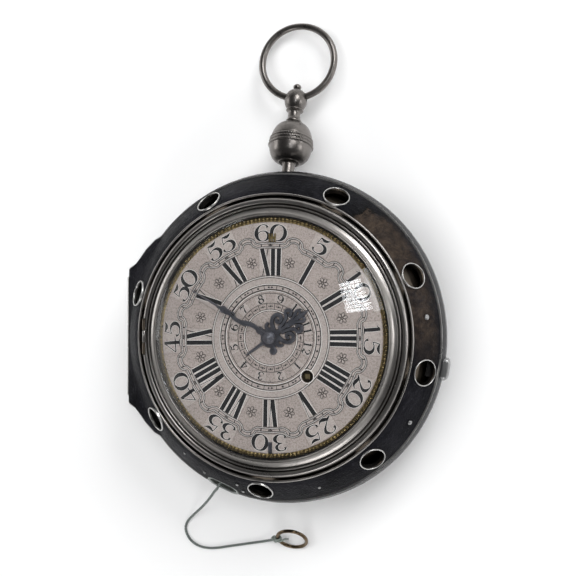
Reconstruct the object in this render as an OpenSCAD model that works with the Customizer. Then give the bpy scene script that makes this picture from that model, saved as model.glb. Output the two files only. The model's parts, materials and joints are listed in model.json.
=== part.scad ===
// Coach clock: a large travelling watch in two cases, one inside the other.
// It lies on its back. +Z is the dial's normal, +Y points to 12 o'clock, and
// the origin is the centre of the flat back that it rests on.
// Clock angles run clockwise from +Y.

/* [Time shown] */
// Hour on the dial
show_hour = 1; // [1:1:12]
// Minute on the dial
show_minute = 50; // [0:1:59]
// Length of the minute hand from the centre
minute_hand_len = 38.4; // [34:0.2:39]
// Length of the hour hand from the centre
hour_hand_len = 19.4; // [17:0.2:22]

/* [Outer case] */
// Thickness of the leather covering
leather_t = 1.0; // [0.6:0.1:1.2]
// Inner radius of the silver rings in the sound holes
sound_hole_r = 4.7; // [4:0.1:4.9]
// Radius of the small silver pins in the leather
pin_r = 0.65; // [0.4:0.05:0.9]
// Opening radius of the front of the outer case
lip_r = 56.2; // [56:0.1:56.4]

/* [Pendant and bow] */
// Lean of the pendant towards the back, in degrees
pendant_lean = 19.8; // [16:0.1:22]
// Radius of the bow ring at the middle of its wire
bow_r = 15.5; // [14:0.1:16.5]
// Radius of the bow ring's wire
bow_wire_r = 1.43; // [1.2:0.01:1.5]
// Lean of the bow ring as it is stored, in degrees
bow_lean = 10; // [4:0.5:14]

/* [Glass] */
// Height of the top of the glass above the table
glass_top = 54; // [53:0.2:55]
// Thickness of the glass at its middle
glass_t = 1.2; // [1:0.1:1.4]

/* [Pull cord] */
// Diameter of the cord
cord_d = 1.2; // [1:0.1:1.4]
// Radius of the pull ring at the middle of its wire
pull_r = 6.1; // [5:0.1:6.4]

/* [Hidden] */
$fn = 72;
ff = 32;

joint_z = 30;
gap = 0.15;
dial_z = 44;
case_r = 65.6;
widest_r = 66.7;
widest_z = 27.2;
rest_r = 30;
hinge_x = -65.6;
shoulder_tilt = 53;
minute_a = show_minute * 6;
hour_a = (show_hour % 12) * 30 + show_minute / 2;

// Places a child so that its own +Z points out of the shoulder at clock
// angle a, radius r and height z, with the given tilt from vertical.
module on_shoulder(a, r, z, tilt = shoulder_tilt)
    rotate([0, 0, -a]) translate([0, r, z]) rotate([-tilt, 0, 0]) children();

// ---------------------------------------------------------- case profiles
// Outline of the front half in (radius, height), set in by o.
function front_pts(o) = [
    [56.9 - 0.8 * o, 41.8 - 0.6 * o],
    [58.9 - 0.8 * o, 40.1 - 0.6 * o],
    [61.1 - 0.8 * o, 37.4 - 0.6 * o],
    [63.5 - 0.8 * o, 34 - 0.6 * o],
    [65.6 - 1.2 * o, joint_z + gap]];
module front_body(o) rotate_extrude()
    polygon(concat([[0, joint_z + gap], [0, 41.8 - 0.6 * o]], front_pts(o)));

// Outline of the back half: a quarter ellipse from the widest point to the
// flat back, set in by o.
function back_arc(o) = [for (t = [90:-9:0])
    [rest_r + (widest_r - rest_r - o) * sin(t),
     widest_z - (widest_z - o) * cos(t)]];
module back_body(o) rotate_extrude()
    polygon(concat([[0, joint_z - gap], [case_r - o, joint_z - gap]],
        back_arc(o), [[0, o]]));

// The squared block at 9 o'clock that holds the hinge.
function block_pts(g) = [[-40, -41.6 - g], [-49.8 - g, -41.6 - g],
    [-54 - g, -39.3 - g], [-57.9 - g, -35.4 - g], [-60.5 - g, -31.9 - g],
    [-62.3 - g, -29.6 - g], [hinge_x - g, -27.4 - g],
    [hinge_x - g, 27.4 + g], [-62.3 - g, 29.6 + g], [-60.5 - g, 31.9 + g],
    [-57.9 - g, 35.4 + g], [-54 - g, 39.3 + g], [-49.8 - g, 41.6 + g],
    [-40, 41.6 + g]];
// Each half of the block runs from the block's outline at the joint to a
// circle inside the case, so that it blends into the shoulder.
module block_root(o) polygon([[-40, -41.6 + o], [-49.8 + o, -41.6 + o],
    [-54 + o, -39.3 + o], [-57.9 + o, -35.4 + o],
    [hinge_x + o, -27.4 + o], [hinge_x + o, 27.4 - o],
    [-57.9 + o, 35.4 - o], [-54 + o, 39.3 - o], [-49.8 + o, 41.6 - o],
    [-40, 41.6 - o]]);
module front_block(o) intersection() {
    translate([0, 0, joint_z + gap]) linear_extrude(9) polygon(block_pts(-o));
    hull() {
        translate([0, 0, joint_z + gap]) linear_extrude(1.1 - 0.4 * o)
            block_root(o);
        translate([0, 0, 38.4 - o]) cylinder(r = 54 - o, h = 0.5, $fn = ff);
    }
}
module back_block(o) intersection() {
    translate([0, 0, 12]) linear_extrude(joint_z - gap - 12)
        polygon(block_pts(-o));
    hull() {
        translate([0, 0, 28.3 + 0.4 * o])
            linear_extrude(joint_z - gap - 28.3 - 0.4 * o) block_root(o);
        translate([0, 0, 14 + o]) cylinder(r = 50 - o, h = 0.5, $fn = ff);
    }
}
module outline2d(g) {
    circle(r = case_r + g);
    polygon(block_pts(g));
}
module outline3d(g, z, h) translate([0, 0, z]) {
    linear_extrude(h) circle(r = case_r + g);
    linear_extrude(h) polygon(block_pts(g));
}
// Room for the hinge knuckles between the halves.
module hinge_slot() translate([-75, -24.3, 27.9]) cube([11.4, 48.6, 7.2]);

// Clock angle, radius and height of each sound hole.
HOLES = [[332.5, 61, 37.3], [24.4, 60.6, 37.8], [66.6, 60.7, 37.7],
    [102.4, 61.5, 36.6], [140, 61.3, 36.9], [185.8, 61, 37.3],
    [236.6, 60.6, 37.8], [286.6, 61.1, 37.2]];
module at_hole(h) on_shoulder(h[0], h[1], h[2], 52) children();
module hole_cuts(r) for (h = HOLES) at_hole(h)
    translate([0, 0, -6]) cylinder(r = r, h = 12);

// Oval opening at the lower left that the pull cord comes out of.
bush_a = 202;
module oval2d(w, h) {
    square([w - h, h], center = true);
    for (s = [-1, 1]) translate([s * (w - h) / 2, 0]) circle(d = h);
}
module at_bushing() on_shoulder(bush_a, 64.6, 30.2, 62) children();
module bushing_cut(w, h) at_bushing() translate([0, 0, -7])
    linear_extrude(12) oval2d(w, h);

// ------------------------------------------------------------- outer case
module pendant_slot() {
    on_pendant() translate([0, 0, -12]) cylinder(r = 3, h = 18);
    translate([-3, 50, 21.5]) cube([6, 20, 10]);
}
catch_a = 100.4;
module catch_window(g) rotate([0, 0, -catch_a]) translate([0, 60, 26.2])
    rotate([-90, 0, 0]) linear_extrude(12) oval2d(9.4 + 2 * g, 4 + 2 * g);

module outer_back_cover() color([0.07, 0.07, 0.08]) difference() {
    union() { back_body(0); back_block(0); }
    union() { back_body(leather_t); back_block(leather_t); }
    translate([0, 0, joint_z - 0.75]) cylinder(r = 90, h = 1);
    hinge_slot();
    bushing_cut(14.5, 9.1);
    catch_window(0.2);
    pendant_slot();
}
module outer_back_shell() color([0.62, 0.6, 0.56]) difference() {
    union() { back_body(leather_t); back_block(leather_t); }
    back_body(2);
    translate([0, 0, joint_z - 0.75]) linear_extrude(2) difference() {
        circle(r = 90);
        outline2d(-1.2);
    }
    hinge_slot();
    bushing_cut(14.5, 9.1);
    catch_window(0.2);
    pendant_slot();
}
module outer_back_rim() color([0.7, 0.69, 0.67]) difference() {
    outline3d(0.2, joint_z - 0.75, 0.6);
    outline3d(-1.2, joint_z - 0.85, 0.8);
    hinge_slot();
    bushing_cut(14.5, 9.1);
    translate([-3, 50, 21.5]) cube([6, 20, 10]);
}
module outer_front_cover() color([0.08, 0.08, 0.09]) difference() {
    union() { front_body(0); front_block(0); }
    union() { front_body(leather_t); front_block(leather_t); }
    translate([0, 0, 20]) cylinder(r = 90, h = joint_z + 0.75 - 20);
    translate([0, 0, 25]) cylinder(r = 57.1, h = 20);
    hinge_slot();
    hole_cuts(5.4);
    bushing_cut(15.1, 9.8);
}
module outer_front_shell() color([0.62, 0.6, 0.56]) {
    difference() {
        union() { front_body(leather_t); front_block(leather_t); }
        front_body(2);
        translate([0, 0, 25]) cylinder(r = 57.1, h = 20);
        translate([0, 0, joint_z - 1]) linear_extrude(1.75) difference() {
            circle(r = 90);
            outline2d(-1.2);
        }
        hinge_slot();
        hole_cuts(5.4);
        bushing_cut(15.1, 9.8);
    }
    catch_lip();
}
module outer_front_rim() color([0.72, 0.71, 0.69]) difference() {
    outline3d(0.2, joint_z + gap, 0.6);
    outline3d(-1.2, joint_z + gap - 0.1, 0.8);
    hinge_slot();
    // the rim stops at the hinge axis, so that it clears the back's rim
    translate([-75, -40, joint_z - 1]) cube([75 + hinge_x + 0.3, 80, 3]);
    bushing_cut(15.1, 9.8);
}
// Silver ring that holds the leather at the front opening.
module outer_front_lip() color([0.8, 0.79, 0.78]) difference() {
    rotate_extrude() polygon([[lip_r, 39.3], [lip_r, 41.7],
        [lip_r + 0.25, 42], [lip_r + 0.6, 42], [lip_r + 0.9, 41.7],
        [lip_r + 0.9, 39.3]]);
    hole_cuts(5.44);
}
// Three knuckles on the back half and two on the front half.
knuckle_l = 9.4;
module knuckle(i, leaf_z) difference() {
    union() {
        translate([hinge_x, -24.2 + i * 9.75, joint_z]) rotate([-90, 0, 0])
            cylinder(r = 0.95, h = knuckle_l);
        translate([hinge_x, -24.2 + i * 9.75, leaf_z])
            cube([2, knuckle_l, 1.1]);
    }
    translate([hinge_x, -30, joint_z]) rotate([-90, 0, 0])
        cylinder(r = 0.55, h = 60);
}
module outer_back_knuckles() color([0.66, 0.65, 0.63])
    for (i = [0, 2, 4]) knuckle(i, joint_z - gap - 1.1);
module outer_front_knuckles() color([0.7, 0.69, 0.67])
    for (i = [1, 3]) knuckle(i, joint_z + gap);
module outer_hinge_pin() color([0.5, 0.5, 0.52])
    translate([hinge_x, -24.2, joint_z]) rotate([-90, 0, 0])
        cylinder(r = 0.52, h = 48.4);

module sound_hole_rings() color([0.78, 0.77, 0.75])
    for (h = HOLES) at_hole(h) rotate_extrude()
        polygon([[sound_hole_r, -2.2], [5.38, -2.2], [5.38, 0.35],
            [5.2, 0.6], [sound_hole_r + 0.15, 0.6], [sound_hole_r, 0.35]]);
// Silver pins: clock angle, radius, height and head size of each.
PINS = [[82.3, 61.4, 36.9, 1.1], [121.2, 62.9, 34.8, 0.95],
    [163, 61.5, 36.75, pin_r], [193.3, 63.6, 33.75, pin_r],
    [195.1, 60.9, 37.6, pin_r], [209.2, 62.5, 35.3, pin_r],
    [218.9, 60.2, 38.4, pin_r]];
module cover_pins() color([0.85, 0.84, 0.82])
    for (p = PINS) on_shoulder(p[0], p[1], p[2]) translate([0, 0, 0.1]) {
        difference() {
            translate([0, 0, -0.4 * p[3]]) sphere(r = 1.1 * p[3], $fn = 24);
            translate([-2, -2, -4]) cube([4, 4, 4]);
        }
    }
module cord_bushing() color([0.45, 0.46, 0.45]) at_bushing()
    translate([0, 0, -2.6]) linear_extrude(3.2) difference() {
        oval2d(14.4, 9);
        oval2d(11.6, 6.3);
    }

// Push-button catch at the right: the button rides on a long leaf spring.
module catch_button() color([0.6, 0.6, 0.62])
    rotate([0, 0, -catch_a]) translate([0, 62.9, 26.2]) rotate([-90, 0, 0]) {
        translate([0, 0, 0.3]) linear_extrude(4.6) oval2d(9.2, 3.7);
        translate([0, 0, 4.9]) linear_extrude(0.6) oval2d(8.6, 3.1);
        translate([0, 0, 5.5]) linear_extrude(0.5) oval2d(7.2, 1.9);
        // rivet through the spring
        translate([0, 0, -0.5]) cylinder(r = 0.8, h = 1);
    }
module catch_spring() color([0.35, 0.38, 0.45]) difference() {
    translate([0, 0, 24.6]) linear_extrude(3) difference() {
        circle(r = 63.15);
        circle(r = 62.6);
        polygon([[0, 0], for (a = [112:8:450]) [90 * sin(a), 90 * cos(a)]]);
    }
    rotate([0, 0, -catch_a]) translate([0, 60, 26.2]) rotate([-90, 0, 0])
        cylinder(r = 0.83, h = 6);
}
module lip_sector(r0, r1, z0, h) translate([0, 0, z0]) linear_extrude(h)
    difference() {
        circle(r = r1);
        circle(r = r0);
        polygon([[0, 0], for (a = [104:8:456]) [90 * sin(a), 90 * cos(a)]]);
    }
module catch_lip() {
    lip_sector(60.6, 61.2, 25.4, 5.2);
    lip_sector(60.6, 63.3, 29.8, 0.8);
}

// ------------------------------------------------------------- inner case
inner_pts = [[54.9, 38.5], [57, 36.6], [58.6, 34.2], [59.6, 31.6], [60, 29]];
function inner_arc(o) = [for (t = [90:-9:0])
    [28 + (32 - o) * sin(t), 26 - (22.4 - o) * cos(t)]];
module on_pendant() translate([0, 64, 22.34]) rotate([-90 - pendant_lean, 0, 0])
    children();
// The repeat chain runs from the cord's inner end to the pulley.
module chain_line() translate([-24.9, -57.6, 29.5]) rotate([0, 0, -11.4])
    rotate([-90, 0, 0]) children();
module inner_case() color([0.68, 0.66, 0.63]) {
    inner_bowl();
    bezel_knuckles();
}
module inner_bowl() difference() {
    union() {
        rotate_extrude() difference() {
            polygon(concat([[0, 38.5]], inner_pts, inner_arc(0), [[0, 3.6]]));
            polygon(concat([[0, 39], [53.9, 39], [53.9, 38.2]],
                [for (p = inner_pts) if (p[0] > 55) [p[0] - 1, p[1] - 0.5]],
                inner_arc(1), [[0, 4.6]]));
        }
        rotate_extrude() polygon([[48.8, 35], [57.4, 35], [56.6, 36],
            [48.8, 36]]);
    }
    // sound slots round the band
    for (i = [0:15]) rotate([0, 0, i * 22.5 + 11.25]) translate([0, 50, 21])
        rotate([-90, 0, 0]) cylinder(r = 3.2, h = 15);
    chain_line() translate([0, 0, -3]) cylinder(r = 1.2, h = 11);
    on_pendant() translate([0, 0, -12]) cylinder(r = 1.6, h = 12);
}
bz_x = -54.15;
bz_z = 42.2;
module bezel_knuckles() for (s = [-1, 1]) difference() {
        union() {
            translate([bz_x, s * 4.85 - 2.25, bz_z]) rotate([-90, 0, 0])
                cylinder(r = 0.75, h = 4.5);
            translate([bz_x - 0.5, s * 4.85 - 2.25, 38.5])
                cube([1, 4.5, bz_z - 38.5]);
        }
        translate([bz_x, -20, bz_z]) rotate([-90, 0, 0])
            cylinder(r = 0.4, h = 40);
    }
module bezel_hinge_pin() color([0.5, 0.5, 0.52])
    translate([bz_x, -7.1, bz_z]) rotate([-90, 0, 0])
        cylinder(r = 0.37, h = 14.2);
module inner_bezel() color([0.74, 0.73, 0.71]) difference() {
    union() {
        difference() {
            rotate_extrude() polygon([[47.5, 43.5], [47.5, 44.1], [48, 44.1],
                [48, 45.1], [48.15, 45.3], [48.5, 45.2], [48.7, 44.6],
                [49.2, 43.9], [50.1, 43.1], [51, 42.8], [51.3, 42.4],
                [51.6, 42.5], [51.8, 42.9], [52.1, 43], [52.4, 42.7],
                [52.7, 42.1], [52.9, 42.3], [53.1, 42.7], [53.5, 43],
                [53.95, 43], [54.5, 42.75], [54.95, 42.2], [55.2, 41.4],
                [55.2, 38.8], [53.5, 38.8], [53.5, 41], [50.5, 41.8],
                [48.4, 43]]);
            translate([-60, -7.4, 38]) cube([6.75, 14.8, 8]);
        }
        translate([bz_x, -2.3, 41.5]) cube([1.3, 4.6, 1]);
        translate([bz_x, -2.3, bz_z]) rotate([-90, 0, 0])
            cylinder(r = 0.75, h = 4.6);
    }
    translate([bz_x, -20, bz_z]) rotate([-90, 0, 0])
        cylinder(r = 0.4, h = 40);
}
function dome(z0, h, r0) = [for (i = [12:-1:0])
    let (r = r0 * i / 12, R = (r0 * r0 + h * h) / (2 * h))
    [r, z0 + sqrt(R * R - r * r) - (R - h)]];
function rev(v) = [for (i = [len(v) - 1:-1:0]) v[i]];
module glass() color([0.85, 0.9, 0.95, 0.3]) rotate_extrude()
    polygon(concat(dome(45.1, glass_top - 45.1, 48),
        rev(dome(44.1, glass_top - glass_t - 44.1, 48))));

// ---------------------------------------------------- pendant and bow ring
module pendant_stem() color([0.6, 0.59, 0.57]) on_pendant() difference() {
    union() {
        translate([0, 0, -3.8]) cylinder(r = 2.5, h = 10.9);
        translate([0, 0, -9]) cylinder(r = 1.55, h = 6);
    }
}
ball_s = 16;
module pendant_ball() color([0.55, 0.53, 0.51]) on_pendant()
    translate([0, 0, ball_s]) rotate_extrude() polygon([
        [1.3, -8.9], [2.6, -8.9], [2.6, -9.3], [3.6, -9.3], [4.2, -9.1],
        [4.6, -8.6], [6.4, -7.8], [7.7, -6.2], [8.4, -4.4], [8.75, -2.6],
        [8.9, -2.1], [9.15, -1.9], [9.3, -1.6], [9.15, -1.3], [8.85, -1],
        [8.8, -0.6], [9, -0.45], [9.1, -0.1], [9, 0.25], [8.75, 0.4],
        [8.7, 0.7], [8.85, 0.85], [8.9, 1.15], [8.75, 1.5], [8.4, 1.7],
        [8.2, 3.2], [7.6, 5], [6.5, 6.8], [5, 8.1], [3.2, 8.8],
        [1.3, 9.1]]);
post_s = 35.3;
bow_up = 1.6;
module bow_post() color([0.57, 0.55, 0.53]) on_pendant() difference() {
    translate([0, 0, post_s]) rotate_extrude() polygon([[0, -20.5],
        [1.22, -20.5], [1.22, -9.9], [3.1, -9.9], [3.2, -9.3], [2.7, -8.6],
        [2.6, -5.6], [2.9, -5.1], [3.5, -4.7], [3.5, -4.3], [3.2, -4],
        [3.9, -3], [4.5, -1.5], [4.65, 0], [4.5, 1.4], [3.9, 2.8],
        [3, 3.9], [2, 4.6], [1.2, 4.8], [1.1, 5.1], [1.45, 5.5],
        [1.65, 6.1], [1.5, 6.8], [1, 7.3], [0, 7.5]]);
    translate([-8, 0, post_s + bow_up]) rotate([0, 90, 0])
        cylinder(r = 1.9, h = 16);
}
bow_y = 64 + (post_s + bow_up) * cos(pendant_lean);
bow_z = 22.34 - (post_s + bow_up) * sin(pendant_lean);
module bow_ring() color([0.55, 0.53, 0.51])
    translate([0, bow_y, bow_z]) rotate([-bow_lean, 0, 0])
        translate([0, bow_r - 0.33, 0]) rotate_extrude()
            translate([bow_r, 0]) circle(r = bow_wire_r, $fn = ff);

// ------------------------------------------------------------ bell, plates
module bell() color([0.72, 0.6, 0.35]) rotate_extrude() difference() {
    polygon(concat([[0, 17]], [for (t = [90:-9:0])
        [50 * sin(t), 17 - 11.4 * cos(t)]]));
    polygon(concat([[0, 18], [48.9, 18]], [for (t = [90:-9:0])
        [48.9 * sin(t), 17 - 10.3 * cos(t)]]));
    translate([-1, 0]) square([2.6, 20]);
}
module bell_screw() color([0.4, 0.42, 0.48]) {
    translate([0, 0, 4.6]) cylinder(r = 1.55, h = 2.4);
    translate([0, 0, 7]) difference() {
        cylinder(r = 3, h = 1.2);
        translate([-4, -0.35, 0.6]) cube([8, 0.7, 1]);
    }
}
FUSEE = [15.1, -15];
BARREL = [-16, -20];
THIRD = [5.8, 16];
CONTR = [8, 28.2];
VERGE = [-14, 14];
ALARM = [-30, 4];
ALESC = [-34.4, 16.4];
PULLEY = [-16, -38.5];
MINW = [13, 7.5];
AHAM = [-36, -12];
RHAM = [36, -6];
PILLAR_A = [12, 84, 156, 230, 300];
function at_clock(r, a) = [r * sin(a), r * cos(a)];
module holes2d(list, r) for (p = list) translate(p) circle(r = r, $fn = 24);
plate_holes = [FUSEE, BARREL, THIRD, CONTR, ALARM, ALESC, PULLEY];
module top_plate() color([0.8, 0.66, 0.38]) translate([0, 0, 18])
    linear_extrude(1.5) difference() {
        circle(r = 46);
        holes2d(plate_holes, 0.75);
        holes2d([[0, 0], AHAM, RHAM], 0.9);
        holes2d([VERGE], 1.2);
    }
module pillar_plate() color([0.8, 0.66, 0.38]) translate([0, 0, 36])
    linear_extrude(1.6) difference() {
        circle(r = 50.2);
        holes2d(plate_holes, 0.75);
        holes2d([[0, 0], AHAM, RHAM], 0.9);
        translate([FUSEE[0], FUSEE[1]]) circle(r = 1.5);
        translate([-2.2, -50]) square([4.4, 10]);
    }
module pillars() color([0.82, 0.68, 0.4]) for (a = PILLAR_A)
    translate(concat(at_clock(43.5, a), [19.5])) rotate_extrude()
        polygon([[0, 0], [2, 0], [2, 0.8], [1.4, 1.4], [1.1, 3], [1.7, 6.5],
            [1.9, 8.25], [1.7, 10], [1.1, 13.5], [1.4, 15.1], [2, 15.7],
            [2, 16.5], [0, 16.5]]);

// ---------------------------------------------------------------- wheels
// Tooth i of n with pitch radius rp: narrow teeth leave running room.
function tooth(i, n, rp, ad, dd, tp, tt) = let (c = 360 / n * i, p = 360 / n) [
    [(rp - dd) * cos(c - p * tp * 1.25), (rp - dd) * sin(c - p * tp * 1.25)],
    [rp * cos(c - p * tp), rp * sin(c - p * tp)],
    [(rp + ad) * cos(c - p * tt), (rp + ad) * sin(c - p * tt)],
    [(rp + ad) * cos(c + p * tt), (rp + ad) * sin(c + p * tt)],
    [rp * cos(c + p * tp), rp * sin(c + p * tp)],
    [(rp - dd) * cos(c + p * tp * 1.25), (rp - dd) * sin(c + p * tp * 1.25)]];
module gear2d(n, m, a, tp = 0.19, tt = 0.08) rotate(a)
    polygon([for (i = [0:n - 1]) each tooth(i, n, n * m / 2, 0.75 * m,
        1.1 * m, tp, tt)]);
module wheel2d(n, m, a, hub) difference() {
    gear2d(n, m, a);
    difference() {
        circle(r = n * m / 2 - 2.4 * m - 0.4);
        circle(r = hub);
        for (k = [0:3]) rotate(k * 90) translate([0, -0.8]) square([40, 1.6]);
    }
}
function dir(a, b) = atan2(b[1] - a[1], b[0] - a[0]);
function dist(a, b) = norm([b[0] - a[0], b[1] - a[1]]);
ORG = [0, 0];
// module of a pair from its centre distance and tooth counts
m1 = 2 * dist(FUSEE, ORG) / (60 + 10);
m2 = 2 * dist(THIRD, ORG) / (60 + 8);
m3 = 2 * dist(CONTR, THIRD) / (54 + 8);
m4 = 2 * dist(ALARM, ALESC) / (48 + 8);
m5 = 2 * dist(MINW, ORG) / (12 + 48);
m6 = 2 * dist(MINW, ORG) / (14 + 42);
module arbor(p, z0, z1, r = 0.7) translate([p[0], p[1], z0])
    cylinder(r = r, h = z1 - z0, $fn = 24);
module at(p, z) translate([p[0], p[1], z]) children();

module great_wheel() color([0.83, 0.7, 0.42]) at(FUSEE, 20)
    linear_extrude(1.4) difference() {
        wheel2d(60, m1, dir(FUSEE, ORG), 9.5);
        circle(r = 1.3);
    }
module fusee() color([0.8, 0.68, 0.42]) {
    at(FUSEE, 21.4) difference() {
        rotate_extrude() polygon(concat([[0, 0], [9.4, 0], [9.4, 0.8]],
            [for (i = [0:7]) each [[8.9 - i * 0.55, 0.9 + i * 1.3],
                [8.3 - i * 0.55, 1.3 + i * 1.3],
                [8.3 - i * 0.55, 1.8 + i * 1.3]]], [[5.2, 11.4], [5.2, 12],
            [0, 12]]));
        translate([0, 0, -1]) cylinder(r = 1.2, h = 20);
    }
    arbor(FUSEE, 18, 33.4, 0.7);
    at(FUSEE, 20.1) cylinder(r = 1.2, h = 13.4);
    at(FUSEE, 33.4) cylinder(r = 0.7, h = 8, $fn = 24);
    at(FUSEE, 38.2) translate([-0.9, -0.9, 0]) cube([1.8, 1.8, 5.4]);
}
module going_barrel() color([0.84, 0.7, 0.42]) {
    at(BARREL, 20.2) difference() {
        cylinder(r = 11, h = 12.8);
        translate([0, 0, 1]) cylinder(r = 10, h = 10.8);
        translate([0, 0, -1]) cylinder(r = 0.7, h = 20, $fn = 24);
    }
    arbor(BARREL, 18, 37.4, 0.7);
}
// The chain lies on the outer side of the barrel and the fusee.
chain_n = [sin(14), -cos(14)];
module fusee_chain() color([0.45, 0.45, 0.48]) translate([0, 0, 27.2])
    linear_extrude(1) polygon([
        [BARREL[0] + 11.25 * 0.16, BARREL[1] - 11.25 * 0.987],
        [FUSEE[0] + 7.4 * 0.16, FUSEE[1] - 7.4 * 0.987],
        [FUSEE[0] + 7.95 * 0.16, FUSEE[1] - 7.95 * 0.987],
        [BARREL[0] + 11.8 * 0.16, BARREL[1] - 11.8 * 0.987]]);
module centre_wheel() color([0.83, 0.7, 0.42]) {
    at(ORG, 19.9) linear_extrude(1.7)
        gear2d(10, m1, dir(FUSEE, ORG) + 180 + 18, 0.17, 0.07);
    arbor(ORG, 18, 46.2, 0.8);
    at(ORG, 33.6) linear_extrude(1)
        wheel2d(60, m2, dir(ORG, THIRD), 2.4);
}
module third_wheel() color([0.83, 0.7, 0.42]) {
    at(THIRD, 33.2) linear_extrude(1.8)
        gear2d(8, m2, dir(ORG, THIRD) + 180 + 22.5, 0.16, 0.07);
    arbor(THIRD, 18, 37.6);
    at(THIRD, 30.2) linear_extrude(0.9)
        wheel2d(54, m3, dir(THIRD, CONTR), 2);
}
esc_dir = dir(CONTR, VERGE);
esc_z = 24.2;
module contrate_wheel() color([0.83, 0.7, 0.42]) {
    at(CONTR, 29.8) linear_extrude(1.7)
        gear2d(8, m3, dir(THIRD, CONTR) + 180 + 22.5, 0.16, 0.07);
    arbor(CONTR, 18, 37.6);
    at(CONTR, 27.8) linear_extrude(0.8) difference() {
        circle(r = 9);
        difference() {
            circle(r = 7.2);
            circle(r = 2);
            for (k = [0:3]) rotate(k * 90) translate([0, -0.7])
                square([20, 1.4]);
        }
    }
    at(CONTR, 26.3) for (i = [0:35]) rotate([0, 0, i * 10])
        translate([7.9, -0.3, 0]) cube([1.1, 0.6, 1.7]);
}
// Escape pinion and crown wheel on one level arbor that points at the verge.
module along_escape(d) translate([CONTR[0], CONTR[1], esc_z])
    rotate([0, 0, esc_dir]) translate([d, 0, 0]) rotate([0, 90, 0]) children();
module crown_wheel() color([0.83, 0.7, 0.42]) {
    along_escape(7.4) linear_extrude(2.4) gear2d(6, 0.58, 0, 0.16, 0.08);
    along_escape(5) cylinder(r = 0.5, h = 17.5, $fn = 24);
    along_escape(22.3) linear_extrude(0.7) difference() {
        circle(r = 4.1);
        for (k = [0:3]) rotate(k * 90 + 45) translate([2.4, 0])
            circle(r = 0.8, $fn = 24);
    }
    along_escape(23) for (i = [0:12]) rotate([0, 0, i * 360 / 13])
        translate([3.3, -0.35, 0]) cube([0.8, 0.7, 1.3]);
}
// Brackets on the back plate that carry the ends of the escape arbor.
module potence() color([0.8, 0.66, 0.38]) difference() {
    union() {
        for (d = [4.6, 19.4]) translate([CONTR[0], CONTR[1], 19.5])
            rotate([0, 0, esc_dir]) translate([d, -1.6, 0])
                cube([1.2, 3.2, 6.2]);
        translate([CONTR[0], CONTR[1], 19.5]) rotate([0, 0, esc_dir])
            translate([4.6, -1.6, 0]) cube([16, 3.2, 1]);
    }
    along_escape(0) cylinder(r = 0.56, h = 30, $fn = 24);
}
module verge_staff() color([0.4, 0.43, 0.5]) {
    arbor(VERGE, 11.4, 30.6, 0.45);
    for (s = [-1, 1]) translate([VERGE[0], VERGE[1], esc_z + s * 3.7 - 0.6])
        rotate([0, 0, esc_dir + 180 + s * 48])
            translate([0, -0.25, 0]) cube([1.5, 0.5, 1.2]);
}
module balance_wheel() color([0.82, 0.7, 0.45]) at(VERGE, 13.5)
    linear_extrude(0.8) difference() {
        circle(r = 15.6);
        difference() {
            circle(r = 14);
            circle(r = 2);
            for (k = [0:2]) rotate(k * 120) translate([0, -0.7])
                square([20, 1.4]);
        }
        circle(r = 0.45, $fn = 24);
    }
module balance_spring() color([0.3, 0.35, 0.5]) at(VERGE, 15.4)
    linear_extrude(0.4) polygon(concat(
        [for (t = [0:20:1080]) [(1.6 + t * 0.0042) * cos(t),
            (1.6 + t * 0.0042) * sin(t)]],
        [for (t = [1080:-20:0]) [(1.78 + t * 0.0042) * cos(t),
            (1.78 + t * 0.0042) * sin(t)]]));
module balance_cock() color([0.83, 0.7, 0.42]) difference() {
    union() {
        at(VERGE, 11) cylinder(r = 11, h = 0.9);
        translate([VERGE[0], VERGE[1], 11]) rotate([0, 0, -80])
            translate([8, -2.4, 0]) cube([13, 4.8, 0.9]);
        translate([VERGE[0], VERGE[1], 11]) rotate([0, 0, -80])
            translate([17.4, -2.4, 0]) cube([3.6, 4.8, 7]);
    }
    for (k = [0:5]) at(VERGE, 10) rotate([0, 0, k * 60])
        translate([6.4, 0, 0]) cylinder(r = 2, h = 3);
    at(VERGE, 10) cylinder(r = 0.5, h = 3, $fn = 24);
}

// ------------------------------------------------- alarm and repeat pieces
module alarm_barrel() color([0.84, 0.7, 0.42]) {
    at(ALARM, 20.4) difference() {
        cylinder(r = 7.6, h = 9.6);
        translate([0, 0, 0.9]) cylinder(r = 6.8, h = 7.8);
        translate([0, 0, -1]) cylinder(r = 0.7, h = 20, $fn = 24);
    }
    arbor(ALARM, 18, 37.4);
    at(ALARM, 31) linear_extrude(1)
        wheel2d(48, m4, dir(ALARM, ALESC), 2.4);
}
module alarm_escape_wheel() color([0.83, 0.7, 0.42]) {
    at(ALESC, 30.6) linear_extrude(1.8)
        gear2d(8, m4, dir(ALARM, ALESC) + 180 + 22.5, 0.16, 0.07);
    arbor(ALESC, 18, 37.4);
    at(ALESC, 24) linear_extrude(0.9) difference() {
        circle(r = 4.4);
        for (k = [0:5]) rotate(k * 60) translate([2.7, 0])
            circle(r = 0.8, $fn = 24);
    }
}
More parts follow.
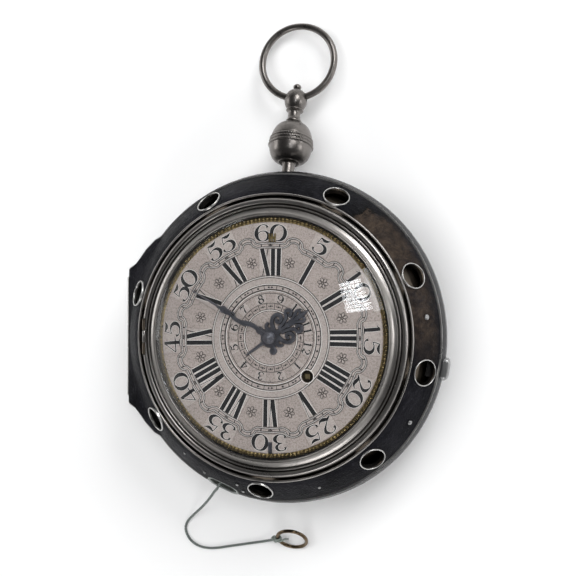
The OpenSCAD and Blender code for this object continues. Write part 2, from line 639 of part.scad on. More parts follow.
// Hammer: an arbor between the plates, an arm behind the back plate and a
// round head that swings out to the bell.
module hammer(p, aim, len) {
    arbor(p, 12.4, 37.4, 0.8);
    translate([p[0], p[1], 12.4]) rotate([0, 0, aim]) {
        translate([0, -0.7, 0]) cube([len, 1.4, 1.4]);
        cylinder(r = 1.8, h = 1.4);
        translate([len, 0, -0.4]) cylinder(r = 1.9, h = 3.2);
    }
    at(p, 22) cylinder(r = 1.8, h = 3);
}
module alarm_hammer() color([0.42, 0.44, 0.5]) hammer(AHAM, -64, 13);
module repeat_hammer() color([0.42, 0.44, 0.5]) hammer(RHAM, -103, 13);
module repeat_pulley() color([0.8, 0.66, 0.4]) {
    at(PULLEY, 28) difference() {
        rotate_extrude() polygon([[0.7, 0], [5, 0], [5, 0.8], [4.3, 1.2],
            [4.3, 2], [5, 2.4], [5, 3.2], [0.7, 3.2]]);
    }
    arbor(PULLEY, 18, 37.4);
    at(PULLEY, 24) linear_extrude(1) difference() {
        circle(r = 4.6);
        for (k = [0:5]) rotate(k * 60) translate([2.8, 0])
            circle(r = 0.8, $fn = 24);
    }
}
module repeat_chain() color([0.45, 0.45, 0.48])
    chain_line() translate([0, 0, 0.3]) cylinder(r = 0.35, h = 18.4, $fn = 24);

// ------------------------------------------------------------ motion work
module cannon_pinion() color([0.83, 0.7, 0.42]) difference() {
    union() {
        at(ORG, 38.2) linear_extrude(1.5)
            gear2d(12, m5, dir(ORG, MINW), 0.17, 0.07);
        at(ORG, 38.2) cylinder(r = 1.5, h = 8.5);
    }
    at(ORG, 38) cylinder(r = 0.9, h = 10);
}
module minute_wheel() color([0.83, 0.7, 0.42]) {
    at(MINW, 38.3) linear_extrude(0.9) difference() {
        wheel2d(48, m5, dir(ORG, MINW) + 180 + 3.75, 2.6);
        circle(r = 0.7, $fn = 24);
    }
    at(MINW, 39.2) linear_extrude(2.4) difference() {
        gear2d(14, m6, dir(ORG, MINW) + 180, 0.17, 0.07);
        circle(r = 0.7, $fn = 24);
    }
    arbor(MINW, 37.9, 42, 0.7);
}
module hour_wheel() color([0.83, 0.7, 0.42]) difference() {
    union() {
        at(ORG, 40.2) linear_extrude(0.9)
            wheel2d(42, m6, dir(ORG, MINW) + 180 / 42, 4);
        at(ORG, 40.2) cylinder(r = 2.3, h = 4.6);
    }
    at(ORG, 40) cylinder(r = 1.56, h = 10);
}
// The disc for setting the alarm turns on the hour pipe inside the dial.
module alarm_disc() color([0.75, 0.7, 0.68]) rotate_extrude()
    polygon([[2.36, 42], [3.2, 42], [3.2, 43.3], [18.7, 43.3], [18.7, 43.85],
        [2.36, 43.85]]);
module dial_plate() color([0.75, 0.7, 0.68]) translate([0, 0, 43.2])
    linear_extrude(0.8) difference() {
        circle(r = 45.5);
        circle(r = 18.85);
        translate([FUSEE[0], FUSEE[1]]) circle(r = 2.4);
        translate([-1.1, -46]) square([2.2, 6.4]);
        translate([-0.9, 37.5]) square([3.2, 3.5]);
    }
module gilt_dial_ring() color([0.8, 0.65, 0.3]) {
    difference() {
        rotate_extrude() polygon([[44.6, 42.2], [44.6, 43.2], [45.5, 43.2],
            [45.5, 44], [46.2, 44.1], [47.2, 44.1], [47.2, 37.6],
            [46, 37.6], [46, 42.2]]);
        translate([-2.2, -50, 37]) cube([4.4, 10, 3.9]);
        translate([-1.1, -45.6, 41.5]) cube([2.2, 6, 3]);
    }
    // gilt joint piece of the movement, let into the dial at 12
    translate([-0.8, 37.6, 42.3]) cube([3, 7.6, 0.7]);
    translate([-0.8, 37.6, 42.3]) cube([3, 3.3, 2.05]);
}
// Spring bolt at 6 o'clock that holds the movement in the inner case.
module movement_bolt() color([0.2, 0.22, 0.3]) {
    translate([-1.6, -49.3, 38.1]) cube([3.2, 9.6, 1.2]);
    translate([-0.8, -45.3, 39.2]) cube([1.6, 4.3, 5.1]);
}

// ------------------------------------------------------------------ hands
module hand_at(a, z) translate([0, 0, z]) rotate([0, 0, -a]) children();
// Minute hand: a wavy root, a small bulb and a long thin blade.
module minute_hand() color([0.16, 0.2, 0.3]) hand_at(minute_a, 45.9)
    linear_extrude(0.5) difference() {
        union() {
            circle(r = 2.6);
            polygon([for (y = [0:0.8:21.6]) [0.85 + 0.3 * sin(y * 60), y],
                for (y = [21.6:-0.8:0]) [-0.85 + 0.3 * sin(y * 60), y]]);
            translate([0, 22]) circle(r = 1.5);
            polygon([[-1, 22], [1, 22], [0.5, 25], [0.12, minute_hand_len],
                [-0.12, minute_hand_len], [-0.5, 25]]);
        }
        circle(r = 1.5);
    }
// Hour hand: a broad pierced scroll head, two round lobes and a thin tail.
module hour_hand() color([0.16, 0.2, 0.3]) hand_at(hour_a, 44.4) difference() {
    union() {
        cylinder(r = 4, h = 0.5);
        for (s = [-1, 1]) {
            translate([s * 3.7, 5.6]) cylinder(r = 2.5, h = 0.5);
            translate([s * 2.6, 10]) cylinder(r = 2.1, h = 0.5);
            translate([s * 4.9, -1.9]) cylinder(r = 1.9, h = 0.5);
            translate([s * 1.3, 13.4]) cylinder(r = 1.4, h = 0.5);
        }
        linear_extrude(0.5) polygon([[-2.2, 0], [2.2, 0], [1.9, 13],
            [0.9, 15.5], [0.2, hour_hand_len], [-0.2, hour_hand_len],
            [-0.9, 15.5], [-1.9, 13]]);
        linear_extrude(0.5) polygon([[-0.8, 0], [0.8, 0], [0.3, -12.2],
            [-0.3, -12.2]]);
    }
    translate([0, 0, -1]) cylinder(r = 2.3, h = 3);
    for (s = [-1, 1]) {
        translate([s * 3.9, 5.7, -1]) cylinder(r = 1.2, h = 3, $fn = 24);
        translate([s * 2.5, 9.8, -1]) cylinder(r = 0.9, h = 3, $fn = 24);
    }
}
module hand_boss() color([0.25, 0.28, 0.36]) rotate_extrude()
    polygon([[0, 46.7], [2.4, 46.7], [2.3, 47.2], [1.7, 47.7], [0.9, 48],
        [0.7, 48.3], [0, 48.4]]);

// -------------------------------------------------------------- pull cord
// Route of the cord from the bushing down to the table and round to the
// ring, through points chosen by hand.
cord_pts = [[-24.9, -57.6, 29.5], [-26.5, -60.4, 29.6], [-28.3, -62.2, 27.2],
    [-31, -63.8, 22.4], [-34.2, -66.3, 17.2], [-37.6, -69, 12.4],
    [-41, -71.6, 8.2], [-44.6, -74.2, 4.8], [-48, -76.8, 2.4],
    [-50.6, -79.3, 1.1], [-51.8, -82, 0.7], [-51.2, -85, 0.7],
    [-49.2, -87.8, 0.7], [-46, -89.7, 0.7], [-42, -90.5, 0.7],
    [-37.5, -90.3, 0.7], [-32.5, -89.4, 0.7], [-27.5, -88.5, 0.7],
    [-22.5, -87.6, 0.7], [-18, -86.8, 0.9], [-14.6, -86, 1.9],
    [-12, -85.4, 3.2]];
function unit(v) = v / norm(v);
function cr(p0, p1, p2, p3, t) = 0.5 * (2 * p1 + (p2 - p0) * t
    + (2 * p0 - 5 * p1 + 4 * p2 - p3) * t * t
    + (3 * p1 - p0 - 3 * p2 + p3) * t * t * t);
function cpt(k) = cord_pts[max(0, min(len(cord_pts) - 1, k))];
cord_path = concat([for (k = [0:len(cord_pts) - 2]) for (t = [0, 0.5])
    cr(cpt(k - 1), cpt(k), cpt(k + 1), cpt(k + 2), t)],
    [cord_pts[len(cord_pts) - 1]]);
function tang(p, i) = unit(p[min(i + 1, len(p) - 1)] - p[max(i - 1, 0)]);
function frames(p, i = 0, n = [0, 0, 1]) = i >= len(p) ? [] : let (
    t = tang(p, i), m = unit(n - (n * t) * t))
    concat([[m, cross(t, m)]], frames(p, i + 1, m));
module tube(p, d, sides) {
    f = frames(p);
    polyhedron(points = [for (i = [0:len(p) - 1]) for (s = [0:sides - 1])
            p[i] + d / 2 * (cos(s * 360 / sides) * f[i][0]
                + sin(s * 360 / sides) * f[i][1])],
        faces = concat([[for (s = [0:sides - 1]) sides - 1 - s]],
            [for (i = [0:len(p) - 2]) for (s = [0:sides - 1])
                let (a = i * sides + s, b = i * sides + (s + 1) % sides)
                [a, b, b + sides, a + sides]],
            [[for (s = [0:sides - 1]) (len(p) - 1) * sides + s]]));
}
module pull_cord() color([0.42, 0.45, 0.43]) tube(cord_path, cord_d, 8);
module cord_knot() color([0.42, 0.5, 0.46])
    translate([-10.4, -84.8, 4.2]) sphere(r = 1.7);
pull_c = [-2.8, -84.4, 5.5];
module pull_ring() color([0.5, 0.38, 0.2]) translate(pull_c)
    rotate([50, 0, 0]) rotate_extrude() translate([pull_r, 0])
        circle(r = 0.75, $fn = ff);

outer_back_shell();
outer_back_cover();
outer_back_rim();
outer_back_knuckles();
outer_hinge_pin();
cord_bushing();
outer_front_shell();
outer_front_cover();
outer_front_rim();
outer_front_lip();
outer_front_knuckles();
sound_hole_rings();
cover_pins();
catch_button();
catch_spring();
inner_case();
bezel_hinge_pin();
inner_bezel();
glass();
pendant_stem();
pendant_ball();
bow_post();
bow_ring();
bell();
bell_screw();
top_plate();
pillar_plate();
pillars();
going_barrel();
fusee();
great_wheel();
fusee_chain();
centre_wheel();
third_wheel();
contrate_wheel();
crown_wheel();
potence();
verge_staff();
balance_wheel();
balance_spring();
balance_cock();
alarm_barrel();
alarm_escape_wheel();
alarm_hammer();
repeat_hammer();
repeat_pulley();
repeat_chain();
cannon_pinion();
minute_wheel();
hour_wheel();
hour_hand();
minute_hand();
hand_boss();
alarm_disc();
dial_plate();
gilt_dial_ring();
movement_bolt();
pull_cord();
cord_knot();
pull_ring();
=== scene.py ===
import bpy
import bmesh
import json
import math
import random
from mathutils import Vector, Matrix


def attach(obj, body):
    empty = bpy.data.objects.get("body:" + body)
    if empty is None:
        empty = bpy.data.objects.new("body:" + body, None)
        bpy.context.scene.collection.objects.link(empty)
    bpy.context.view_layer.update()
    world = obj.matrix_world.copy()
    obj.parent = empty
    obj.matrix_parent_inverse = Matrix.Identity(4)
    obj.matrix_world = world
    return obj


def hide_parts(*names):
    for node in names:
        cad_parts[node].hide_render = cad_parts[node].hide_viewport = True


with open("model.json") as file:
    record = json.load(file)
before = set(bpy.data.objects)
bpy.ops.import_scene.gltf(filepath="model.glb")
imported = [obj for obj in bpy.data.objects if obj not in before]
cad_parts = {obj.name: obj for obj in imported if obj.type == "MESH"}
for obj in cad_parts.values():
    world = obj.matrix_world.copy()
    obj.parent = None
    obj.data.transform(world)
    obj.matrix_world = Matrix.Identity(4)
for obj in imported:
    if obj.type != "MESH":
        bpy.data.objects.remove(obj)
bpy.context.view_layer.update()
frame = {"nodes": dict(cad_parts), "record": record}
MM = 0.001
NODES = frame["nodes"]
rnd = random.Random(11)


# ------------------------------------------------------------------ camera
def make_camera():
    a, e, roll = math.radians(17.2), math.radians(-0.6), math.radians(0.1)
    n = Vector((math.sin(a) * math.cos(e), math.sin(e), math.cos(a) * math.cos(e)))
    right = Vector((math.cos(a), 0, -math.sin(a)))
    up = n.cross(right)
    r2 = math.cos(roll) * right + math.sin(roll) * up
    u2 = -math.sin(roll) * right + math.cos(roll) * up
    loc = Vector((0, 0, 44)) + r2 * 6.889 + u2 * 19.508 + n * 628.02
    cam = bpy.data.cameras.new("camera")
    cam.lens = 100
    cam.sensor_width = 36
    cam.sensor_fit = "HORIZONTAL"
    cam.clip_start = 0.01
    ob = bpy.data.objects.new("camera", cam)
    bpy.context.scene.collection.objects.link(ob)
    m = Matrix((r2, u2, n)).transposed().to_4x4()
    m.translation = loc * MM
    ob.matrix_world = m
    bpy.context.scene.camera = ob
    return ob, n


camera, VIEW = make_camera()


# ------------------------------------------------------------ mesh helpers
def make(name, verts, faces, mats, body, slot, smooth=True, idx=None, auto=35):
    me = bpy.data.meshes.new(name)
    me.from_pydata([(x * MM, y * MM, z * MM) for x, y, z in verts], [], faces)
    if not isinstance(mats, (list, tuple)):
        mats = [mats]
    for m in mats:
        me.materials.append(m)
    if idx:
        for p, i in zip(me.polygons, idx):
            p.material_index = i
    me.update()
    bm = bmesh.new()
    bm.from_mesh(me)
    bmesh.ops.recalc_face_normals(bm, faces=bm.faces)
    bm.to_mesh(me)
    bm.free()
    for p in me.polygons:
        p.use_smooth = smooth
    if smooth and auto is not None:
        me.set_sharp_from_angle(angle=math.radians(auto))
    ob = bpy.data.objects.new(name, me)
    bpy.context.scene.collection.objects.link(ob)
    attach(ob, body)
    return ob


def clock(a, r, z=0.0):
    t = math.radians(a)
    return (r * math.sin(t), r * math.cos(t), z)


def rotz(a):
    return Matrix.Rotation(math.radians(a), 4, "Z")


def rotx(a):
    return Matrix.Rotation(math.radians(a), 4, "X")


def move(x, y, z):
    return Matrix.Translation((x, y, z))


def xf(verts, m):
    return [tuple(m @ Vector(v)) for v in verts]


def on_shoulder(a, r, z, tilt=53):
    return rotz(-a) @ move(0, r, z) @ rotx(-tilt)


ON_PENDANT = move(0, 64, 22.34) @ rotx(-90 - 19.8)


def lathe(prof, n=192, closed=True, f=None):
    """Turns a profile of (r, z) points about Z. f(angle, r, z) may move a point."""
    verts, faces = [], []
    k = len(prof)
    for i in range(n):
        t = 2 * math.pi * i / n
        for r, z in prof:
            if f:
                r2, z2 = f(t, r, z)
            else:
                r2, z2 = r, z
            verts.append((r2 * math.cos(t), r2 * math.sin(t), z2))
    for i in range(n):
        j = (i + 1) % n
        for p in range(k if closed else k - 1):
            q = (p + 1) % k
            faces.append((i * k + p, j * k + p, j * k + q, i * k + q))
    return verts, faces


def smooth_profile(pts, sub=4):
    """Catmull-Rom through open profile points."""
    out = []
    n = len(pts)
    for i in range(n - 1):
        p0, p1, p2, p3 = pts[max(i - 1, 0)], pts[i], pts[i + 1], pts[min(i + 2, n - 1)]
        for s in range(sub):
            t = s / sub
            out.append(tuple(0.5 * (2 * p1[k] + (p2[k] - p0[k]) * t
                + (2 * p0[k] - 5 * p1[k] + 4 * p2[k] - p3[k]) * t * t
                + (3 * p1[k] - p0[k] - 3 * p2[k] + p3[k]) * t ** 3)
                for k in range(len(p1))))
    out.append(tuple(pts[-1]))
    return out


def merge(parts):
    verts, faces = [], []
    for v, f in parts:
        o = len(verts)
        verts += v
        faces += [tuple(i + o for i in q) for q in f]
    return verts, faces


def tube(path, rad, sides=12, closed=False, caps=True, phase=None):
    """Round tube along a list of Vectors; rad is a number or a function of index."""
    n = len(path)
    verts, faces = [], []
    nrm = None
    for i in range(n):
        a = path[(i - 1) % n] if (closed or i > 0) else path[0]
        b = path[(i + 1) % n] if (closed or i < n - 1) else path[-1]
        t = (b - a).normalized()
        if nrm is None:
            nrm = t.orthogonal().normalized()
        nrm = (nrm - nrm.dot(t) * t).normalized()
        bi = t.cross(nrm)
        r = rad(i) if callable(rad) else rad
        for s in range(sides):
            w = 2 * math.pi * s / sides
            verts.append(tuple(path[i] + r * (math.cos(w) * nrm + math.sin(w) * bi)))
    for i in range(n if closed else n - 1):
        j = (i + 1) % n
        for s in range(sides):
            q = (s + 1) % sides
            faces.append((i * sides + s, i * sides + q, j * sides + q, j * sides + s))
    if caps and not closed:
        faces.append(tuple(range(sides)))
        faces.append(tuple((n - 1) * sides + s for s in reversed(range(sides))))
    return verts, faces


# ---------------------------------------------------------- node materials
class Mat:
    """Small builder for procedural node materials."""

    def __init__(self, name):
        self.m = bpy.data.materials.new(name)
        self.m.use_nodes = True
        self.t = self.m.node_tree
        for n in list(self.t.nodes):
            self.t.nodes.remove(n)
        self.out = self.t.nodes.new("ShaderNodeOutputMaterial")
        self.co = self.t.nodes.new("ShaderNodeTexCoord")

    def node(self, kind, **kw):
        n = self.t.nodes.new(kind)
        for k, v in kw.items():
            setattr(n, k, v)
        return n

    def link(self, a, b):
        self.t.links.new(a, b)

    def set(self, n, name, v):
        if isinstance(v, (int, float, tuple, list)):
            n.inputs[name].default_value = v
        else:
            self.link(v, n.inputs[name])

    def noise(self, scale, detail=6.0, rough=0.55, dist=0.0, vec=None):
        n = self.node("ShaderNodeTexNoise")
        self.set(n, "Scale", scale)
        self.set(n, "Detail", detail)
        self.set(n, "Roughness", rough)
        self.set(n, "Distortion", dist)
        self.link(vec or self.co.outputs["Object"], n.inputs["Vector"])
        return n.outputs["Fac"]

    def voronoi(self, scale, feature="F1", vec=None, rand=1.0):
        n = self.node("ShaderNodeTexVoronoi", feature=feature)
        self.set(n, "Scale", scale)
        self.set(n, "Randomness", rand)
        self.link(vec or self.co.outputs["Object"], n.inputs["Vector"])
        return n.outputs["Distance"]

    def ramp(self, fac, stops):
        n = self.node("ShaderNodeValToRGB")
        cr = n.color_ramp
        while len(cr.elements) < len(stops):
            cr.elements.new(0.5)
        for e, (p, c) in zip(cr.elements, stops):
            e.position = p
            e.color = (c, c, c, 1) if isinstance(c, (int, float)) else tuple(c) + (1,)
        self.link(fac, n.inputs["Fac"])
        return n.outputs["Color"]

    def math(self, op, a, b=0.0, clamp=False):
        n = self.node("ShaderNodeMath", operation=op, use_clamp=clamp)
        for i, v in enumerate((a, b)):
            if isinstance(v, (int, float)):
                n.inputs[i].default_value = v
            else:
                self.link(v, n.inputs[i])
        return n.outputs[0]

    def mix(self, fac, a, b, blend="MIX"):
        n = self.node("ShaderNodeMix", data_type="RGBA", blend_type=blend)
        for i, v in ((0, fac), (6, a), (7, b)):
            if isinstance(v, (int, float)):
                n.inputs[i].default_value = v if i == 0 else (v, v, v, 1)
            elif isinstance(v, (tuple, list)):
                n.inputs[i].default_value = tuple(v) + (1,) if len(v) == 3 else tuple(v)
            else:
                self.link(v, n.inputs[i])
        return n.outputs[2]

    def xyz(self):
        n = self.node("ShaderNodeSeparateXYZ")
        self.link(self.co.outputs["Object"], n.inputs[0])
        return n.outputs

    def bump(self, height, strength=0.3, dist=0.0001, normal=None):
        n = self.node("ShaderNodeBump")
        self.set(n, "Strength", strength)
        self.set(n, "Distance", dist)
        self.link(height, n.inputs["Height"])
        if normal is not None:
            self.link(normal, n.inputs["Normal"])
        return n.outputs["Normal"]

    def pointy(self, lo=0.45, hi=0.55):
        n = self.node("ShaderNodeNewGeometry")
        return self.ramp(n.outputs["Pointiness"], [(lo, 0.0), (hi, 1.0)])

    def ao(self, dist=0.002, samples=4):
        n = self.node("ShaderNodeAmbientOcclusion", samples=samples)
        self.set(n, "Distance", dist)
        return n.outputs["AO"]

    def principled(self, color, metallic=0.0, rough=0.5, normal=None, **kw):
        n = self.node("ShaderNodeBsdfPrincipled")
        if isinstance(color, (tuple, list)):
            n.inputs["Base Color"].default_value = tuple(color) + (1,)
        else:
            self.link(color, n.inputs["Base Color"])
        self.set(n, "Metallic", metallic)
        self.set(n, "Roughness", rough)
        if normal is not None:
            self.link(normal, n.inputs["Normal"])
        for k, v in kw.items():
            self.set(n, k.replace("_", " "), v)
        self.link(n.outputs[0], self.out.inputs["Surface"])
        return n


def metal(name, color, dark, rough=(0.22, 0.42), scale=260, hollow_shade=0.5,
          scratch=0.25, ao_dist=0.0012, bump=0.06, spot=0.55):
    """Worn metal: patchy tone, fine scratches, and painted shade in the hollows from an AO mask."""
    m = Mat(name)
    big = m.ramp(m.noise(scale * 0.35, 5, 0.6, 0.6), [(0.32, 0.0), (0.68, 1.0)])
    fine = m.noise(scale * 9, 4, 0.6)
    col = m.mix(big, tuple(c * 0.80 for c in color), color)
    spots = m.ramp(m.noise(scale * 2.2, 8, 0.7), [(0.56, 0.0), (0.72, 1.0)])
    col = m.mix(m.math("MULTIPLY", spots, spot), col, dark)
    # painted shade: the colour darkens where the AO mask finds hollows and gaps between parts
    ao_shade_mask = m.ramp(m.ao(ao_dist), [(0.35, 1.0), (0.85, 0.0)])
    col = m.mix(m.math("MULTIPLY", ao_shade_mask, hollow_shade), col, dark)
    stretch = m.node("ShaderNodeMapping")
    m.link(m.co.outputs["Object"], stretch.inputs["Vector"])
    stretch.inputs["Rotation"].default_value = (0.3, 0.5, 0.7)
    stretch.inputs["Scale"].default_value = (1.0, 14.0, 1.0)
    scr = m.noise(scale * 4, 3, 0.6, 0.0, stretch.outputs["Vector"])
    r = m.math("ADD", rough[0], m.math("MULTIPLY", big, rough[1] - rough[0]))
    r = m.math("ADD", r, m.math("MULTIPLY", spots, 0.2), True)
    h = m.math("ADD", m.math("MULTIPLY", fine, 0.5), m.math("MULTIPLY", scr, scratch))
    m.principled(col, 1.0, r, m.bump(h, bump * 4, 0.00004))
    return m.m


SILVER = metal("silver", (0.47, 0.448, 0.425), (0.045, 0.039, 0.035), (0.26, 0.36), 140, 0.75,
               bump=0.008, ao_dist=0.0009, spot=0.3)
# a lighter copy of the case silver: painted light on rings, rims and knuckles that sit in shade
SILVER_LIT = metal("silver_painted_lit", (0.74, 0.73, 0.71), (0.20, 0.19, 0.18), (0.26, 0.36), 120, 0.4,
                      bump=0.015, spot=0.15)
PINSILVER = metal("pin_silver", (0.40, 0.40, 0.40), (0.10, 0.10, 0.10), (0.30, 0.42), 300, 0.5, bump=0.02)
SILVER_DARK = metal("silver_dark", (0.055, 0.053, 0.052), (0.01, 0.01, 0.01), (0.35, 0.55), 220, 0.6)
PENDANT = metal("pendant_metal", (0.235, 0.218, 0.205), (0.03, 0.026, 0.023), (0.24, 0.38), 420, 0.95)
GILT = metal("gilt", (0.70, 0.54, 0.24), (0.12, 0.085, 0.04), (0.22, 0.42), 500, 0.8)
BRASS = metal("brass", (0.70, 0.56, 0.30), (0.20, 0.14, 0.06), (0.24, 0.40), 160, 0.5)
BELL = metal("bell_metal", (0.58, 0.48, 0.30), (0.16, 0.12, 0.07), (0.26, 0.42), 120, 0.4)
STEEL = metal("steel", (0.42, 0.42, 0.44), (0.10, 0.09, 0.09), (0.22, 0.38), 300, 0.5)
BLUED = metal("blued_steel", (0.30, 0.31, 0.355), (0.05, 0.051, 0.06), (0.34, 0.50), 500, 0.8, bump=0.03)
BUSH = metal("bushing_metal", (0.36, 0.38, 0.365), (0.12, 0.125, 0.12), (0.36, 0.55), 300, 0.5, bump=0.04)
BRONZE = metal("bronze", (0.17, 0.125, 0.078), (0.03, 0.022, 0.015), (0.20, 0.36), 500, 0.7, bump=0.04)


def leather_material(name, coat=0.0, level=0.16):
    m = Mat(name)
    x, y, z = m.xyz()
    ang = m.math("ARCTAN2", x, y)  # clock angle in radians
    warp = m.noise(95, 6, 0.65)
    warp2 = m.noise(420, 6, 0.7)
    up0 = m.math("MULTIPLY", z, 25.0)
    # the torn flap starts at about 38 degrees; its edge leans with height
    a = m.math("ADD", ang, m.math("MULTIPLY", m.math("SUBTRACT", warp, 0.5), 0.30))
    a = m.math("ADD", a, m.math("MULTIPLY", m.math("SUBTRACT", warp2, 0.5), 0.10))
    a = m.math("ADD", a, m.math("MULTIPLY", m.math("SUBTRACT", up0, 0.9), 0.55))
    start = m.ramp(a, [(0.0, 0.0), (0.655, 0.0), (0.672, 1.0)])
    stop = m.ramp(m.math("MULTIPLY", a, 0.5), [(0.80, 1.0), (0.92, 0.0)])
    worn = m.math("MULTIPLY", start, stop)
    up = m.ramp(m.math("ADD", up0, m.math("MULTIPLY", m.math("SUBTRACT", warp2, 0.5), 0.16)),
                [(0.775, 0.0), (0.90, 1.0)])
    worn = m.math("MULTIPLY", worn, up)
    patch = m.ramp(m.noise(130, 7, 0.7, 0.8), [(0.36, 0.25), (0.56, 1.0)])
    fade = m.ramp(m.math("MULTIPLY", ang, 0.5), [(0.40, 1.0), (0.62, 0.62)])
    worn = m.math("MULTIPLY", worn, m.math("MULTIPLY", patch, fade))
    base = m.mix(m.ramp(m.noise(60, 6, 0.6), [(0.3, 0.0), (0.7, 1.0)]),
                 (0.0018, 0.0018, 0.0026), (0.0058, 0.0058, 0.0085))
    scuff = m.ramp(m.noise(700, 8, 0.75, 0.4), [(0.55, 0.0), (0.70, 1.0)])
    base = m.mix(m.math("MULTIPLY", scuff, 0.5), base, (0.050, 0.050, 0.062))
    haze = m.ramp(m.noise(34, 6, 0.65, 0.6), [(0.52, 0.0), (0.74, 1.0)])
    base = m.mix(m.math("MULTIPLY", haze, 0.35), base, (0.045, 0.044, 0.052))
    streak = m.node("ShaderNodeMapping")
    m.link(m.co.outputs["Object"], streak.inputs["Vector"])
    streak.inputs["Rotation"].default_value = (0.2, 0.1, 0.9)
    streak.inputs["Scale"].default_value = (1.0, 9.0, 1.0)
    line = m.ramp(m.noise(260, 6, 0.7, 0.3, streak.outputs["Vector"]), [(0.63, 0.0), (0.70, 1.0)])
    base = m.mix(m.math("MULTIPLY", line, 0.5), base, (0.062, 0.060, 0.068))
    brown = m.mix(m.ramp(m.noise(210, 8, 0.7, 0.6), [(0.36, 0.0), (0.66, 1.0)]),
                  (0.022, 0.016, 0.0125), (0.080, 0.058, 0.043))
    flecks = m.ramp(m.noise(1100, 6, 0.7), [(0.57, 0.0), (0.68, 1.0)])
    brown = m.mix(m.math("MULTIPLY", flecks, 0.5), brown, (0.115, 0.090, 0.070))
    brown = m.mix(m.math("MULTIPLY", line, 0.4), brown, (0.10, 0.09, 0.085))
    lip = m.math("MULTIPLY", m.math("MULTIPLY", start, m.math("SUBTRACT", 1.0, start)), 4.0)
    col = m.mix(worn, base, brown)
    lip = m.ramp(lip, [(0.03, 0.0), (0.35, 1.0)])
    col = m.mix(lip, col, (0.0015, 0.0013, 0.0013))
    grain = m.voronoi(1500, "F1")
    h = m.math("ADD", m.math("MULTIPLY", m.noise(900, 6, 0.7), 0.7),
               m.math("MULTIPLY", grain, 0.5))
    h = m.math("ADD", h, m.math("MULTIPLY", m.noise(140, 5, 0.6), 1.8))
    h = m.math("SUBTRACT", h, m.math("MULTIPLY", worn, 0.8))
    r = m.math("ADD", 0.28, m.math("MULTIPLY", m.noise(300, 5, 0.6), 0.30))
    r = m.math("ADD", r, m.math("MULTIPLY", worn, 0.16), True)
    m.principled(col, 0.0, r, m.bump(h, 0.9, 0.0003), Specular_IOR_Level=level,
                 Coat_Weight=coat, Coat_Roughness=0.22)
    return m.m


LEATHER = leather_material("leather", 0.0, 0.06)
LEATHER_BACK = leather_material("leather_back", 0.5, 0.3)


def dial_material(name, color, dark, rough, grain, bump, ao=0.5, metallic=0.85, fine=0.0):
    m = Mat(name)
    big = m.ramp(m.noise(55, 5, 0.6, 0.5), [(0.3, 0.0), (0.7, 1.0)])
    col = m.mix(big, tuple(c * 0.86 for c in color), color)
    spots = m.ramp(m.noise(620, 8, 0.72), [(0.57, 0.0), (0.75, 1.0)])
    col = m.mix(m.math("MULTIPLY", spots, 0.5), col, dark)
    if fine:
        pits = m.ramp(m.noise(grain * 0.55, 5, 0.75), [(0.47, 0.0), (0.64, 1.0)])
        col = m.mix(m.math("MULTIPLY", pits, fine), col, dark)
    # painted shade: the dial colour darkens where the AO mask finds the foot of the relief
    ao_shade_mask = m.ramp(m.ao(0.0008), [(0.45, 1.0), (0.92, 0.0)])
    col = m.mix(m.math("MULTIPLY", ao_shade_mask, ao), col, dark)
    h = m.math("ADD", m.noise(grain, 3, 0.6), m.math("MULTIPLY", m.noise(grain * 0.3, 3, 0.6), 0.5))
    m.principled(col, metallic, rough, m.bump(h, bump, 0.00006))
    return m.m


DIAL_MATT = dial_material("dial_matted", (0.50, 0.435, 0.405), (0.10, 0.082, 0.073), 0.56, 2600, 2.6, 0.95, 0.30, fine=0.55)
DIAL_POL = dial_material("dial_polished", (0.56, 0.495, 0.465), (0.12, 0.10, 0.09), 0.42, 2400, 1.1, 0.85, 0.35, fine=0.36)
# near-white copy of the dial silver for raised rims and numeral outlines: a painted highlight where their edges catch
# the light
DIAL_RIDGE_HIGHLIGHT = dial_material("dial_ridge_painted_highlight", (0.98, 0.94, 0.91), (0.30, 0.26, 0.24), 0.42, 2600, 0.3, 0.25, 0.2)


def wax_material():
    m = Mat("black_wax")
    col = m.mix(m.ramp(m.noise(900, 6, 0.6), [(0.35, 0.0), (0.7, 1.0)]),
                (0.007, 0.007, 0.008), (0.022, 0.022, 0.024))
    m.principled(col, 0.0, 0.42, m.bump(m.noise(2400, 4, 0.6), 0.3, 0.00005))
    return m.m


WAX = wax_material()


def glass_material():
    m = Mat("clear_glass")
    fres = m.node("ShaderNodeFresnel")
    fres.inputs["IOR"].default_value = 1.5
    smear = m.noise(45, 3, 0.5)
    gl = m.node("ShaderNodeBsdfGlossy")
    gl.inputs["Color"].default_value = (1, 1, 1, 1)
    m.link(m.ramp(smear, [(0.3, 0.020), (0.8, 0.024)]), gl.inputs["Roughness"])
    tr = m.node("ShaderNodeBsdfTransparent")
    tr.inputs["Color"].default_value = (0.975, 0.98, 0.98, 1)
    mx = m.node("ShaderNodeMixShader")
    m.link(m.math("MULTIPLY", fres.outputs[0], 0.9), mx.inputs[0])
    m.link(tr.outputs[0], mx.inputs[1])
    m.link(gl.outputs[0], mx.inputs[2])
    lp = m.node("ShaderNodeLightPath")
    mx2 = m.node("ShaderNodeMixShader")
    tr2 = m.node("ShaderNodeBsdfTransparent")
    tr2.inputs["Color"].default_value = (0.98, 0.98, 0.98, 1)
    m.link(lp.outputs["Is Shadow Ray"], mx2.inputs[0])
    m.link(mx.outputs[0], mx2.inputs[1])
    m.link(tr2.outputs[0], mx2.inputs[2])
    m.link(mx2.outputs[0], m.out.inputs["Surface"])
    return m.m


GLASS = glass_material()


